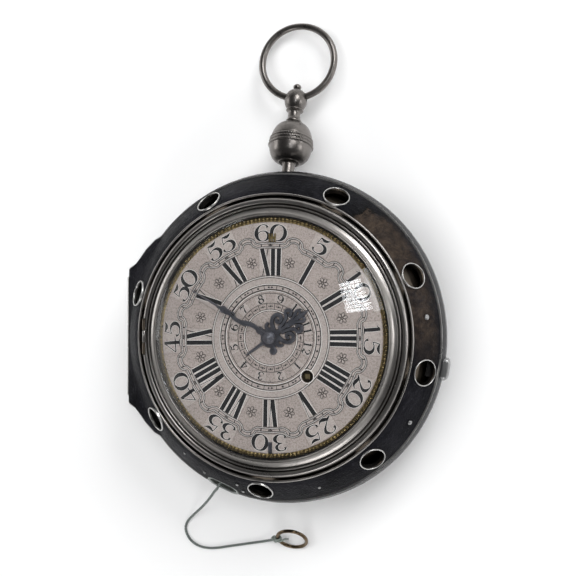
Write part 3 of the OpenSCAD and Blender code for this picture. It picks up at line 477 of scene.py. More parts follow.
def cord_material(name, lo, hi):
    m = Mat(name)
    col = m.mix(m.ramp(m.noise(1500, 6, 0.7), [(0.35, 0.0), (0.68, 1.0)]), lo, hi)
    # painted shade: the fibre darkens where the AO mask finds the grooves between strands
    ao_shade_mask = m.ramp(m.ao(0.0007), [(0.40, 1.0), (0.85, 0.0)])
    col = m.mix(m.math("MULTIPLY", ao_shade_mask, 0.85), col, (0.012, 0.014, 0.013))
    h = m.math("ADD", m.noise(5200, 3, 0.6), m.noise(1500, 4, 0.6))
    m.principled(col, 0.0, 0.85, m.bump(h, 0.8, 0.0001), Sheen_Weight=0.2,
                 Sheen_Roughness=0.5)
    return m.m


CORD = cord_material("cord_fibre", (0.075, 0.09, 0.084), (0.26, 0.295, 0.275))
KNOT = cord_material("knot_fibre", (0.12, 0.145, 0.13), (0.30, 0.345, 0.31))


# --------------------------------------------------------------- pull cord
CORD_PTS = [(-24.9, -57.6, 29.5), (-26.5, -60.4, 29.6), (-28.3, -62.2, 27.2),
    (-31, -63.8, 22.4), (-34.2, -66.3, 17.2), (-37.6, -69, 12.4),
    (-41, -71.6, 8.2), (-44.6, -74.2, 4.8), (-48, -76.8, 2.4),
    (-50.6, -79.3, 1.1), (-51.8, -82, 0.7), (-51.2, -85, 0.7),
    (-49.2, -87.8, 0.7), (-46, -89.7, 0.7), (-42, -90.5, 0.7),
    (-37.5, -90.3, 0.7), (-32.5, -89.4, 0.7), (-27.5, -88.5, 0.7),
    (-22.5, -87.6, 0.7), (-18, -86.8, 0.9), (-14.6, -86, 1.9),
    (-12, -85.4, 3.2)]


def make_cord():
    line = [Vector(p) for p in smooth_profile(CORD_PTS, 16)]
    length = sum((b - a).length for a, b in zip(line, line[1:]))
    strands = []
    up = Vector((0, 0, 1))
    s = 0.0
    n_prev = None
    for k in range(2):
        path = []
        s = 0.0
        n_prev = None
        for i, p in enumerate(line):
            if i:
                s += (p - line[i - 1]).length
            t = (line[min(i + 1, len(line) - 1)] - line[max(i - 1, 0)]).normalized()
            if n_prev is None:
                n_prev = up
            nn = (n_prev - n_prev.dot(t) * t).normalized()
            n_prev = nn
            b = t.cross(nn)
            w = 2 * math.pi * s / 2.2 + k * math.pi
            path.append(p + 0.29 * (math.cos(w) * nn + math.sin(w) * b))
        strands.append(tube(path, 0.31, 8))
    v, f = merge(strands)
    ob = make("cord_twist", v, f, CORD, "outer_back", "cord_fibre", auto=None)
    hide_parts("pull_cord")
    return ob, line, length


cord_ob, cord_line, cord_len = make_cord()


def make_knot():
    c = Vector((-10.5, -84.85, 3.95))
    parts = []
    path = []
    for i in range(96):
        t = 2 * math.pi * i / 96
        x = math.sin(t) + 2 * math.sin(2 * t)
        y = math.cos(t) - 2 * math.cos(2 * t)
        z = -math.sin(3 * t)
        path.append(c + Vector((x * 0.42, y * 0.36, z * 0.55)))
    parts.append(tube(path, 0.60, 12, closed=True))
    # two turns round the wire of the ring, and the tail that runs inside it
    e = Vector((-8.9, -84.4, 5.5))
    wire = Vector((0, 0.643, 0.766))
    side = Vector((0, -0.766, 0.643))
    for k in (-0.42, 0.42):
        loop = []
        for i in range(28):
            t = 2 * math.pi * i / 28
            loop.append(e + wire * (k + 0.12 * math.sin(t)) + Vector((1, 0, 0)) * 1.16 * math.cos(t)
                        + side * 1.16 * math.sin(t))
        parts.append(tube(loop, 0.40, 10, closed=True))
    tail = [Vector(p) for p in smooth_profile([(-9.9, -85.2, 4.9), (-8.6, -85.6, 6.1), (-7.2, -85.2, 5.9),
                                               (-6.1, -84.7, 5.2), (-5.5, -84.6, 4.5)], 5)]
    parts.append(tube(tail, 0.42, 8))
    for k in range(7):
        d = Vector((1.0, rnd.uniform(-0.6, 0.6), rnd.uniform(-0.7, 0.1))).normalized()
        q = tail[-1] - d * 0.3
        parts.append(tube([q, q + d * 0.7, q + d * 1.2 + Vector((0, 0, -0.15))], 0.09, 5))
    v, f = merge(parts)
    ob = make("cord_knot_tied", v, f, KNOT, "outer_back", "cord_fibre", auto=None)
    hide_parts("cord_knot")
    return ob


knot_ob = make_knot()


def make_pull_ring():
    v, f = [], []
    R, r, n, k = 6.1, 0.75, 120, 16
    for i in range(n):
        t = 2 * math.pi * i / n
        wob = 1 + 0.03 * math.sin(5 * t + 0.6) + 0.02 * math.sin(11 * t)
        for j in range(k):
            w = 2 * math.pi * j / k
            rr = r * wob * 0.99
            v.append(((R + rr * math.cos(w)) * math.cos(t),
                      (R + rr * math.cos(w)) * math.sin(t), rr * math.sin(w)))
    for i in range(n):
        for j in range(k):
            f.append((i * k + j, ((i + 1) % n) * k + j,
                      ((i + 1) % n) * k + (j + 1) % k, i * k + (j + 1) % k))
    v = xf(v, move(-2.8, -84.4, 5.5) @ rotx(50))
    ob = make("pull_ring_turned", v, f, BRONZE, "outer_back", "bronze", auto=None)
    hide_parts("pull_ring")
    return ob


ring_ob = make_pull_ring()


# -------------------------------------------------------- shape of the case
FRONT = [(56.9, 41.8), (58.9, 40.1), (61.1, 37.4), (63.5, 34.0), (65.6, 30.15)]
ROOT = [(-40, -41.6), (-49.8, -41.6), (-54, -39.3), (-57.9, -35.4), (-65.6, -27.4),
        (-65.6, 27.4), (-57.9, 35.4), (-54, 39.3), (-49.8, 41.6), (-40, 41.6)]
BLOCK = [(-40, -41.6), (-49.8, -41.6), (-54, -39.3), (-57.9, -35.4), (-60.5, -31.9),
         (-62.3, -29.6), (-65.6, -27.4), (-65.6, 27.4), (-62.3, 29.6), (-60.5, 31.9),
         (-57.9, 35.4), (-54, 39.3), (-49.8, 41.6), (-40, 41.6)]
HOLES = [(332.5, 61, 37.3), (24.4, 60.6, 37.8), (66.6, 60.7, 37.7), (102.4, 61.5, 36.6),
         (140, 61.3, 36.9), (185.8, 61, 37.3), (236.6, 60.6, 37.8), (286.6, 61.1, 37.2)]
PINS = [(82.3, 61.4, 36.9, 1.1), (121.2, 62.9, 34.8, 0.95), (163, 61.5, 36.75, 0.6),
        (193.3, 63.6, 33.75, 0.62), (195.1, 60.9, 37.6, 0.62), (209.2, 62.5, 35.3, 0.55),
        (218.9, 60.2, 38.4, 0.55)]


def ray_poly(poly, t):
    """Furthest distance at which the ray from the origin leaves the polygon."""
    dx, dy = math.cos(t), math.sin(t)
    best = 0.0
    for (x1, y1), (x2, y2) in zip(poly, poly[1:] + poly[:1]):
        ex, ey = x2 - x1, y2 - y1
        den = dx * ey - dy * ex
        if abs(den) < 1e-9:
            continue
        s = (x1 * ey - y1 * ex) / den
        u = (x1 * dy - y1 * dx) / den
        if s > 0 and -1e-9 <= u <= 1 + 1e-9:
            best = max(best, s)
    return best


def lerp_profile(prof, z):
    pts = sorted(prof, key=lambda p: p[1])
    if z <= pts[0][1]:
        return pts[0][0]
    for (r1, z1), (r2, z2) in zip(pts, pts[1:]):
        if z <= z2:
            return r1 + (r2 - r1) * (z - z1) / (z2 - z1)
    return pts[-1][0]


def front_r(t, z, o=0.0):
    body = lerp_profile(FRONT, z + 0.6 * o) - 0.8 * o if z > 30.2 else 65.6 - 1.2 * o
    q = (z - 31.25) / (38.4 - 31.25)
    root = ray_poly(ROOT, t)
    blk = 0.0
    if root and q < 1:
        q = max(q, 0.0)
        blk = min(ray_poly(BLOCK, t), (1 - q) * root + q * 54) - o
    return max(body, blk)


BACK_ARC = [(30 + 36.7 * math.sin(math.radians(a)), 27.2 - 27.2 * math.cos(math.radians(a)))
            for a in range(90, -1, -3)]


def back_r(t, z, o=0.0):
    if z >= 27.2:
        body = 66.7 - (66.7 - 65.6) * (z - 27.2) / (29.85 - 27.2) - o
    else:
        c = 1 - max(z, 0) / 27.2
        body = 30 + (36.7 - o) * math.sqrt(max(0.0, 1 - c * c))
    root = ray_poly(ROOT, t)
    q = (28.3 - z) / (28.3 - 14.5)
    blk = 0.0
    if root and q < 1:
        q = max(q, 0.0)
        blk = min(ray_poly(BLOCK, t), (1 - q) * root + q * 50) - o
    return max(body, blk)


def grid(rows, n, cols):
    """rows: functions giving a point for an angle; cols: list of angles."""
    verts = [r(t) for r in rows for t in cols]
    k = len(cols)
    faces = []
    for i in range(len(rows)):
        i2 = (i + 1) % len(rows)
        for j in range(k):
            j2 = (j + 1) % k
            faces.append((i * k + j, i * k + j2, i2 * k + j2, i2 * k + j))
    return verts, faces


def cutter(name, verts, faces):
    me = bpy.data.meshes.new(name)
    me.from_pydata([(x * MM, y * MM, z * MM) for x, y, z in verts], [], faces)
    bm = bmesh.new()
    bm.from_mesh(me)
    bmesh.ops.recalc_face_normals(bm, faces=bm.faces)
    bm.to_mesh(me)
    bm.free()
    ob = bpy.data.objects.new(name, me)
    bpy.context.scene.collection.objects.link(ob)
    return ob


def cut_cyl(name, m, r, h0, h1, n=96, sx=1.0, flat=0.0):
    """Cylinder or oval prism along local Z. flat widens it into an oval."""
    ring = []
    for i in range(n):
        t = 2 * math.pi * i / n
        x, y = r * math.cos(t), r * math.sin(t)
        if flat:
            x += flat if x > 0 else -flat
        ring.append((x, y))
    v = [(x, y, h0) for x, y in ring] + [(x, y, h1) for x, y in ring]
    f = [tuple(range(n))[::-1], tuple(range(n, 2 * n))]
    f += [(i, (i + 1) % n, n + (i + 1) % n, n + i) for i in range(n)]
    return cutter(name, xf(v, m), f)


def cut_box(name, lo, hi):
    v = [(x, y, z) for x in (lo[0], hi[0]) for y in (lo[1], hi[1]) for z in (lo[2], hi[2])]
    f = [(0, 1, 3, 2), (4, 6, 7, 5), (0, 4, 5, 1), (2, 3, 7, 6), (0, 2, 6, 4), (1, 5, 7, 3)]
    return cutter(name, v, f)


def subtract(ob, cutters):
    for c in cutters:
        md = ob.modifiers.new("cut", "BOOLEAN")
        md.operation = "DIFFERENCE"
        md.solver = "EXACT"
        md.object = c
    dg = bpy.context.evaluated_depsgraph_get()
    me = bpy.data.meshes.new_from_object(ob.evaluated_get(dg))
    ob.modifiers.clear()
    old = ob.data
    ob.data = me
    bpy.data.meshes.remove(old)
    for c in cutters:
        bpy.data.objects.remove(c)
    for p in ob.data.polygons:
        p.use_smooth = True
    ob.data.set_sharp_from_angle(angle=math.radians(32))


def hole_frame(a):
    return on_shoulder(a[0], a[1], a[2], 52)


ANG = [2 * math.pi * i / 360 for i in range(360)]
# extra angles at the corners of the hinge block
for p in BLOCK:
    t = math.atan2(p[1], p[0]) % (2 * math.pi)
    if p[0] < -45:
        ANG += [t - 0.002, t + 0.002]
ANG = sorted(ANG)
_dents = [(rnd.uniform(0, 360), rnd.uniform(31.5, 38.5), rnd.uniform(1.5, 4.0),
           rnd.uniform(-0.12, 0.05)) for _ in range(60)]


def leather_bump(t, z, r):
    """Small dents of old leather."""
    a = math.degrees(math.pi / 2 - t) % 360
    d = 0.0
    for ca, cz, w, h in _dents:
        da = (a - ca + 180) % 360 - 180
        x = math.radians(da) * r
        q = (x * x + (z - cz) ** 2) / (w * w)
        if q < 4:
            d += h * math.exp(-q)
    return min(d, 0.0) + 0.0


def front_cover():
    zs = [31.0, 31.25, 31.6, 32.2, 33.0, 33.8, 34.6, 35.4, 36.1, 36.8, 37.5, 38.2, 38.9,
          39.5, 40.1, 40.6, 41.0, 41.35]

    def outer(z):
        return lambda t: ((front_r(t, z) + leather_bump(t, z, 62)) * math.cos(t),
                          (front_r(t, z) + leather_bump(t, z, 62)) * math.sin(t), z)

    def inner(z):
        return lambda t: (front_r(t, z, 1.0) * math.cos(t), front_r(t, z, 1.0) * math.sin(t), z)

    def at_r(r, z):
        return lambda t: (r * math.cos(t), r * math.sin(t), z)

    def foot(o):
        def f(t):
            r = front_r(t, 31.0, o)
            x, y = r * math.cos(t), r * math.sin(t)
            return (x, y, 31.2 if abs(y) < 24.6 and x < -62 else 30.78)
        return f
    rows = [foot(0.0)] + [outer(z) for z in zs if z > 31.4]
    rows += [at_r(57.22, 41.52), at_r(57.12, 41.4), at_r(57.12, 40.6)]
    rows += [inner(z) for z in (40.1, 38.8, 37.2, 35.6, 34.0, 32.6, 31.6)] + [foot(1.0)]
    v, f = grid(rows, 0, ANG)
    ob = make("front_leather", v, f, LEATHER, "outer_front", "leather_black")
    cuts = [cut_cyl("c%d" % i, hole_frame(a), 5.3, -6, 6) for i, a in enumerate(HOLES)]
    cuts.append(cut_cyl("cb", on_shoulder(202, 64.6, 30.2, 62), 4.72, -7, 5, flat=2.7))
    subtract(ob, cuts)
    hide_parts("outer_front_cover")
    return ob


def back_cover():
    zs = [28.3, 27.9, 27.2, 26.2, 25, 23.5, 22, 20, 18, 16, 14, 12, 10, 8, 6, 4.5, 3.2,
          2.2, 1.4, 0.8, 0.35, 0.1]

    def outer(z):
        return lambda t: (back_r(t, z) * math.cos(t), back_r(t, z) * math.sin(t), z)

    def inner(z):
        return lambda t: (back_r(t, z, 1.0) * math.cos(t), back_r(t, z, 1.0) * math.sin(t), z)

    def at_r(r, z):
        return lambda t: (r * math.cos(t), r * math.sin(t), z)

    def head(o):
        def f(t):
            r = back_r(t, 29.1, o)
            x, y = r * math.cos(t), r * math.sin(t)
            return (x, y, 28.8 if abs(y) < 24.6 and x < -62 else 29.22)
        return f
    rows = [head(0.0)] + [outer(z) for z in zs if z < 28.7] + [at_r(31, 0.0), at_r(20, 0.0), at_r(8, 0.0), at_r(0.5, 0.0)]
    rows += [at_r(0.5, 1.0), at_r(20, 1.0), at_r(30, 1.0)]
    rows += [inner(z) for z in (1.3, 2.5, 4.5, 8, 12, 16, 20, 24, 27)] + [head(1.0)]
    v, f = grid(rows, 0, ANG)
    ob = make("back_leather", v, f, LEATHER_BACK, "outer_back", "leather_black")
    cuts = [cut_cyl("cp", ON_PENDANT, 2.7, -12, 8),
            cut_cyl("cw", rotz(-100.4) @ move(0, 60, 26.2) @ rotx(-90), 2.15, 0, 12, flat=2.6),
            cut_cyl("cb2", on_shoulder(202, 64.6, 30.2, 62), 4.54, -7, 5, flat=2.7)]
    subtract(ob, cuts)
    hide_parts("outer_back_cover")
    return ob


front_leather = front_cover()
back_leather = back_cover()


def rings_and_pins():
    parts, tubes = [], []
    for a in HOLES:
        prof = smooth_profile([(4.86, -0.35), (4.85, 0.15), (4.88, 0.4), (4.97, 0.56),
                               (5.1, 0.61), (5.22, 0.56), (5.31, 0.4), (5.34, 0.15),
                               (5.34, -0.35)], 3)
        v, f = lathe(prof, 96)
        parts.append((xf(v, hole_frame(a)), f))
        v, f = lathe([(4.9, -2.2), (4.9, -0.3), (5.3, -0.3), (5.3, -2.2)], 72)
        tubes.append((xf(v, hole_frame(a)), f))
    v, f = merge(parts)
    # the hole rings take the lighter silver copy: painted light
    ob = make("hole_rings", v, f, SILVER_LIT, "outer_front", "silver", auto=50)
    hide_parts("sound_hole_rings")
    v, f = merge(tubes)
    make("hole_sleeves", v, f, SILVER_DARK, "outer_front", "silver_dark", auto=50)
    parts = []
    for k, (a, r, z, q) in enumerate(PINS):
        prof = [(0.0001, -0.9), (0.8 * q, -0.9), (0.97 * q, 0.0), (1.02 * q, 0.12),
                (0.93 * q, 0.34 * q + 0.1), (0.68 * q, 0.55 * q + 0.08),
                (0.34 * q, 0.66 * q + 0.06), (0.0001, 0.69 * q + 0.05)]
        v, f = lathe(smooth_profile(prof, 3), 28)
        parts.append((xf(v, on_shoulder(a, r, z)), f))
    v, f = merge(parts)
    ob = make("leather_pins", v, f, PINSILVER, "outer_front", "silver", auto=50)
    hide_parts("cover_pins")


rings_and_pins()


def front_lip():
    prof = smooth_profile([(56.2, 39.3), (56.2, 41.4), (56.28, 41.75), (56.5, 41.96),
                           (56.8, 41.96), (57.02, 41.75), (57.1, 41.4), (57.1, 39.3)], 3)
    v, f = lathe(prof, 256)
    ob = make("front_lip_ring", v, f, SILVER, "outer_front", "silver", auto=50)
    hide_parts("outer_front_lip")


front_lip()


def bushing():
    m = on_shoulder(202, 64.6, 30.2, 62)
    prof = [(0.0, -2.6), (0.0, 0.35), (-0.12, 0.6), (-0.45, 0.72), (-0.85, 0.66), (-1.15, 0.45),
            (-1.32, 0.1), (-1.35, -2.6)]
    prof = smooth_profile(prof, 2)
    n = 96
    ring = []
    for i in range(n):
        t = 2 * math.pi * i / n
        ring.append((math.cos(t), math.sin(t)))
    v, f = [], []
    k = len(prof)
    for cx, cy in ring:
        for o, h in prof:
            r = 4.5 + o
            v.append((r * cx + (2.7 if cx > 0 else -2.7), r * cy, h))
    for i in range(n):
        j = (i + 1) % n
        for p in range(k):
            q = (p + 1) % k
            f.append((i * k + p, j * k + p, j * k + q, i * k + q))
    ob = make("cord_bushing_oval", xf(v, m), f, BUSH, "outer_back", "bushing_metal", auto=50)
    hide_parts("cord_bushing")


bushing()


def catch():
    n = 96
    rows = [(0.3, 1.0), (4.2, 1.0), (4.6, 0.985), (5.0, 0.93), (5.4, 0.82), (5.7, 0.64),
            (5.92, 0.42), (6.0, 0.18)]
    v = []
    for d, q in rows:
        w, h = 9.2 * (0.25 + 0.75 * q), 3.7 * q
        for i in range(n):
            t = 2 * math.pi * i / n
            x, y = h / 2 * math.cos(t), h / 2 * math.sin(t)
            v.append((x + math.copysign((w - h) / 2, x), y, d))
    f = [tuple(range(n))[::-1], tuple(range((len(rows) - 1) * n, len(rows) * n))]
    for k in range(len(rows) - 1):
        for i in range(n):
            f.append((k * n + i, k * n + (i + 1) % n, (k + 1) * n + (i + 1) % n, (k + 1) * n + i))
    rv, rf = lathe([(0.0001, -0.5), (0.8, -0.5), (0.8, 0.35), (0.0001, 0.35)], 24)
    v, f = merge([(v, f), (rv, rf)])
    m = rotz(-100.4) @ move(0, 62.9, 26.2) @ rotx(-90)
    ob = make("catch_domed", xf(v, m), f, PINSILVER, "catch", "silver", auto=50)
    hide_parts("catch_button")


catch()


# ---------------------------------------------------------------- the bezel
def bezel():
    prof = [(47.5, 43.5), (47.5, 44.1), (47.98, 44.12), (48.0, 45.05), (48.1, 45.26),
            (48.3, 45.3), (48.48, 45.18), (48.66, 44.7), (49.1, 44.0), (49.7, 43.42),
            (50.4, 43.0), (50.9, 42.78), (51.15, 42.45), (51.3, 42.3), (51.45, 42.4),
            (51.6, 42.74), (51.85, 43.0), (52.1, 42.98), (52.3, 42.68), (52.45, 42.2),
            (52.6, 42.02), (52.76, 42.2), (52.92, 42.62), (53.2, 42.92), (53.7, 43.02),
            (54.2, 42.98), (54.6, 42.74), (54.95, 42.25), (55.16, 41.6), (55.2, 41.0), (55.2, 38.9)]
    prof = smooth_profile(prof, 3)
    under = [(53.5, 38.9), (53.5, 41), (50.5, 41.8), (48.4, 43)]
    v, f = lathe(prof + under, 360)
    ob = make("bezel_turned", v, f, SILVER, "bezel", "silver", auto=55)
    subtract(ob, [cut_box("cz", (-60, -7.4, 38), (-53.25, 7.4, 46))])
    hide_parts("inner_bezel")
    # the middle knuckle of the bezel's own hinge
    m = move(-54.15, -2.3, 42.2) @ rotx(-90)
    cv, cf = lathe([(0.4, 0.0), (0.7, 0.0), (0.75, 0.06), (0.75, 4.54), (0.7, 4.6), (0.4, 4.6)], 32)
    tongue = [(x, y, z) for x in (-53.6, -52.9) for y in (-2.3, 2.3) for z in (41.5, 42.4)]
    v, f = merge([(xf(cv, m), cf), (tongue, [(0, 1, 3, 2), (4, 6, 7, 5), (0, 4, 5, 1), (2, 3, 7, 6),
                                             (0, 2, 6, 4), (1, 5, 7, 3)])])
    make("bezel_knuckle", v, f, SILVER, "bezel", "silver", auto=55)


bezel()


def glass():
    def dome(z0, h, r0, n=110):
        R = (r0 * r0 + h * h) / (2 * h)
        return [(r0 * i / n, z0 + math.sqrt(R * R - (r0 * i / n) ** 2) - (R - h))
                for i in range(n, -1, -1)]
    top = dome(45.1, 8.9, 47.95)
    bot = dome(44.15, 8.65, 47.95)[::-1]
    prof = [(max(r, 0.0001), z) for r, z in top + bot]
    v, f = lathe(prof, 256)
    ob = make("dome_glass", v, f, GLASS, "bezel", "crystal", auto=50)
    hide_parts("glass")


glass()


# -------------------------------------------------------------- gilt ring
def gilt_ring():
    v, f = [], []
    n = 1080
    prof = [(44.7, 42.3), (45.5, 43.1), (45.52, 43.95), (45.9, 44.35), (46.35, 44.55),
            (46.8, 44.5), (47.15, 44.2), (47.2, 43.6), (47.2, 37.7), (46.1, 37.7), (46.1, 42.3)]
    k = len(prof)
    for i in range(n):
        t = 2 * math.pi * i / n
        tooth = (i % 6) / 6.0
        saw = (0.5 - 0.5 * math.cos(2 * math.pi * tooth))
        wob = 0.5 + 0.5 * math.sin(t * 37) * math.sin(t * 13 + 1)
        for j, (r, z) in enumerate(prof):
            if 3 <= j <= 5:
                z = z - 0.45 * saw * (0.75 + 0.25 * wob)
                r = r + (0.1 * saw if j == 3 else 0)
            v.append((r * math.cos(t), r * math.sin(t), z))
    for i in range(n):
        j = (i + 1) % n
        for p in range(k):
            q = (p + 1) % k
            f.append((i * k + p, j * k + p, j * k + q, i * k + q))
    parts = [(v, f)]
    ob = make("gilt_ring_cut", *merge(parts), GILT, "outer_back", "gilt", auto=40)
    # gilt joint piece at 12: two lugs with a pin between them
    lug = Relief()
    for x0, x1 in ((-0.8, 0.05), (0.35, 1.15), (1.45, 2.2)):
        lug.poly([(x0, 37.6), (x1, 37.6), (x1, 40.9), (x0, 40.9)], 43.6, 44.42, 0.08)
    lug.poly([(-0.8, 38.7), (2.2, 38.7), (2.2, 39.8), (-0.8, 39.8)], 43.6, 44.3, 0.05)
    ob2 = make("gilt_lug", lug.v, lug.f, GILT, "outer_back", "gilt", smooth=False)
    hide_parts("gilt_dial_ring")


# ------------------------------------------------------------- dial relief
class Relief:
    """Raised shapes with sloping sides, from flat outlines."""

    def __init__(self):
        self.v, self.f = [], []

    def poly(self, pts, z0, z1, ch=0.05, m=None):
        n = len(pts)
        area = sum(pts[i][0] * pts[(i + 1) % n][1] - pts[(i + 1) % n][0] * pts[i][1]
                   for i in range(n))
        if area < 0:
            pts = pts[::-1]
        ins = []
        for i in range(n):
            a, b, c = Vector(pts[i - 1][:2]), Vector(pts[i][:2]), Vector(pts[(i + 1) % n][:2])
            e1, e2 = (b - a), (c - b)
            if e1.length < 1e-6 or e2.length < 1e-6:
                ins.append(tuple(b))
                continue
            e1.normalize()
            e2.normalize()
            n1, n2 = Vector((-e1.y, e1.x)), Vector((-e2.y, e2.x))
            s = n1 + n2
            if s.length < 1e-3:
                s = n1
            s = s / max(s.length_squared, 0.4) * 2
            ins.append(tuple(b + s * ch))
        o = len(self.v)
        for x, y in [p[:2] for p in pts]:
            self.v.append((x, y, z0))
        for x, y in ins:
            self.v.append((x, y, z1))
        self.f.append(tuple(o + n + i for i in range(n)))
        for i in range(n):
            j = (i + 1) % n
            self.f.append((o + i, o + j, o + n + j, o + n + i))

    def ribbon(self, pts, z0, z1, ch=0.05, closed=False, grow=0.0):
        """pts: list of (x, y, width). A band with sloping sides."""
        n = len(pts)
        o = len(self.v)
        for i in range(n):
            if closed:
                a, b = pts[i - 1], pts[(i + 1) % n]
            else:
                a, b = pts[max(i - 1, 0)], pts[min(i + 1, n - 1)]
            d = Vector((b[0] - a[0], b[1] - a[1]))
            if d.length < 1e-9:
                d = Vector((1, 0))
            d.normalize()
            nn = Vector((-d.y, d.x))
            c = Vector(pts[i][:2])
            if not closed and grow:
                if i == 0:
                    c = c - d * grow
                elif i == n - 1:
                    c = c + d * grow
            w = pts[i][2] / 2 + grow
            wt = max(w - ch, 0.3 * w)
            for q, z in ((w, z0), (wt, z1), (-wt, z1), (-w, z0)):
                self.v.append((c.x + nn.x * q, c.y + nn.y * q, z))
        for i in range(n if closed else n - 1):
            j = (i + 1) % n
            for s in range(4):
                e = (s + 1) % 4
                self.f.append((o + i * 4 + s, o + i * 4 + e, o + j * 4 + e, o + j * 4 + s))
        if not closed:
            self.f.append((o, o + 1, o + 2, o + 3))
            self.f.append(tuple(o + (n - 1) * 4 + s for s in (3, 2, 1, 0)))

    def ring(self, r, w, z0, z1, ch=0.05, n=360, a0=0, a1=360):
        full = a1 - a0 >= 360
        k = n if full else max(4, int(n * (a1 - a0) / 360)) + 1
        pts = []
        for i in range(k):
            a = a0 + (a1 - a0) * i / (k if full else k - 1)
            x, y, _ = clock(a, r)
            pts.append((x, y, w))
        self.ribbon(pts, z0, z1, ch, closed=full)


def place(pts, c, r, rot=0.0, sx=1.0, sy=1.0, cx=0.0, cy=0.0):
    """Local (u, v) with v pointing outward, at clock angle c and radius r."""
    t = math.radians(c)
    q = math.radians(rot)
    out = []
    for p in pts:
        u, v = (p[0] - cx) * sx, (p[1] - cy) * sy
        u, v = u * math.cos(q) - v * math.sin(q), u * math.sin(q) + v * math.cos(q)
        x = u * math.cos(t) + (r + v) * math.sin(t)
        y = -u * math.sin(t) + (r + v) * math.cos(t)
        out.append((x, y) + tuple(p[2:]))
    return out


def ell(cx, cy, rx, ry, wmax, wmin, n=36, a0=0, a1=360, lean=0):
    pts = []
    full = a1 - a0 >= 360
    k = n if full else n + 1
    for i in range(k):
        a = math.radians(a0 + (a1 - a0) * i / n)
        w = wmin + (wmax - wmin) * abs(math.cos(a + math.radians(lean))) ** 1.5
        pts.append((cx + rx * math.cos(a), cy + ry * math.sin(a), w))
    return pts


# Strokes of each digit in a box about 0.84 wide and 1 high: (points, closed).
def digit(ch):
    if ch == "0":
        return [(ell(0.42, 0.5, 0.37, 0.47, 0.16, 0.035, 44, lean=12), True)]
    if ch == "1":
        return [([(0.40, 0.98, 0.13), (0.40, 0.5, 0.15), (0.40, 0.03, 0.13)], False),
                ([(0.22, 0.82, 0.03), (0.32, 0.90, 0.05), (0.40, 0.97, 0.08)], False),
                ([(0.22, 0.02, 0.04), (0.40, 0.03, 0.05), (0.58, 0.02, 0.04)], False)]
    if ch == "2":
        return [([(0.14, 0.72, 0.13), (0.12, 0.84, 0.08), (0.26, 0.97, 0.035), (0.46, 0.96, 0.06),
                  (0.64, 0.80, 0.14), (0.62, 0.60, 0.11), (0.40, 0.34, 0.05), (0.10, 0.06, 0.035)], False),
                ([(0.08, 0.05, 0.04), (0.24, 0.14, 0.10), (0.44, 0.06, 0.15), (0.62, 0.04, 0.09),
                  (0.76, 0.16, 0.03)], False)]
    if ch == "3":
        return [([(0.16, 0.78, 0.12), (0.18, 0.90, 0.06), (0.36, 0.98, 0.035), (0.56, 0.92, 0.09),
                  (0.64, 0.76, 0.13), (0.54, 0.60, 0.07), (0.34, 0.53, 0.035)], False),
                ([(0.34, 0.53, 0.035), (0.58, 0.48, 0.07), (0.70, 0.28, 0.16), (0.58, 0.08, 0.09),
                  (0.36, 0.01, 0.035), (0.16, 0.08, 0.06), (0.12, 0.22, 0.13)], False)]
    if ch == "4":
        return [([(0.52, 1.0, 0.035), (0.28, 0.64, 0.035), (0.04, 0.30, 0.04)], False),
                ([(0.04, 0.29, 0.05), (0.42, 0.29, 0.05), (0.80, 0.29, 0.05)], False),
                ([(0.54, 0.99, 0.12), (0.54, 0.5, 0.14), (0.54, 0.02, 0.13)], False),
                ([(0.36, 0.01, 0.04), (0.54, 0.02, 0.05), (0.72, 0.01, 0.04)], False)]
    if ch == "5":
        return [([(0.24, 0.95, 0.04), (0.44, 0.88, 0.12), (0.60, 0.90, 0.10), (0.74, 1.0, 0.03)], False),
                ([(0.25, 0.96, 0.03), (0.20, 0.74, 0.03), (0.17, 0.52, 0.03)], False),
                ([(0.17, 0.52, 0.03), (0.38, 0.61, 0.05), (0.62, 0.54, 0.12), (0.72, 0.32, 0.16),
                  (0.60, 0.09, 0.10), (0.36, 0.01, 0.035), (0.14, 0.07, 0.05), (0.08, 0.22, 0.12)], False)]
    if ch == "6":
        return [([(0.70, 0.80, 0.12), (0.64, 0.93, 0.06), (0.46, 0.99, 0.035), (0.26, 0.90, 0.07),
                  (0.11, 0.66, 0.14), (0.08, 0.38, 0.16), (0.19, 0.11, 0.09), (0.42, 0.01, 0.035),
                  (0.64, 0.10, 0.09), (0.73, 0.32, 0.14), (0.62, 0.54, 0.07), (0.42, 0.61, 0.035),
                  (0.22, 0.53, 0.03), (0.12, 0.38, 0.03)], False)]
    if ch == "7":
        return [([(0.10, 0.80, 0.04), (0.16, 0.95, 0.09), (0.38, 0.90, 0.13), (0.58, 0.92, 0.08),
                  (0.76, 0.99, 0.03)], False),
                ([(0.76, 0.99, 0.03), (0.52, 0.60, 0.08), (0.38, 0.26, 0.13), (0.36, 0.02, 0.12)], False)]
    if ch == "8":
        return [(ell(0.42, 0.76, 0.24, 0.22, 0.13, 0.05, 28, lean=-30), True),
                (ell(0.42, 0.27, 0.31, 0.26, 0.15, 0.05, 32, lean=-30), True)]
    if ch == "9":
        return [([(0.84 - x, 1 - y, w) for x, y, w in digit("6")[0][0]], False)]
    return []


def strokes(text, c, r, h, wid, gap, heavy=1.0, bend=True):
    """Smoothed strokes of a number, each digit turned to its own place."""
    out = []
    n = len(text)
    pitch = wid * 0.84 + gap
    for k, ch in enumerate(text):
        u = (k - (n - 1) / 2) * pitch
        da = math.degrees(u / (r + h / 2)) if bend else 0.0
        for pts, closed in digit(ch):
            if not closed:
                pts = smooth_profile(pts, 5)
            pts = [(p[0], p[1], p[2] * h * heavy) for p in pts]
            if bend:
                q = place(pts, c + da, r, 0, wid, h, 0.42, 0)
            else:
                q = place([(p[0] + u / wid, p[1], p[2]) for p in pts], c, r, 0, wid, h, 0.42, 0)
            out.append((q, closed))
    return out


Z = 44.0


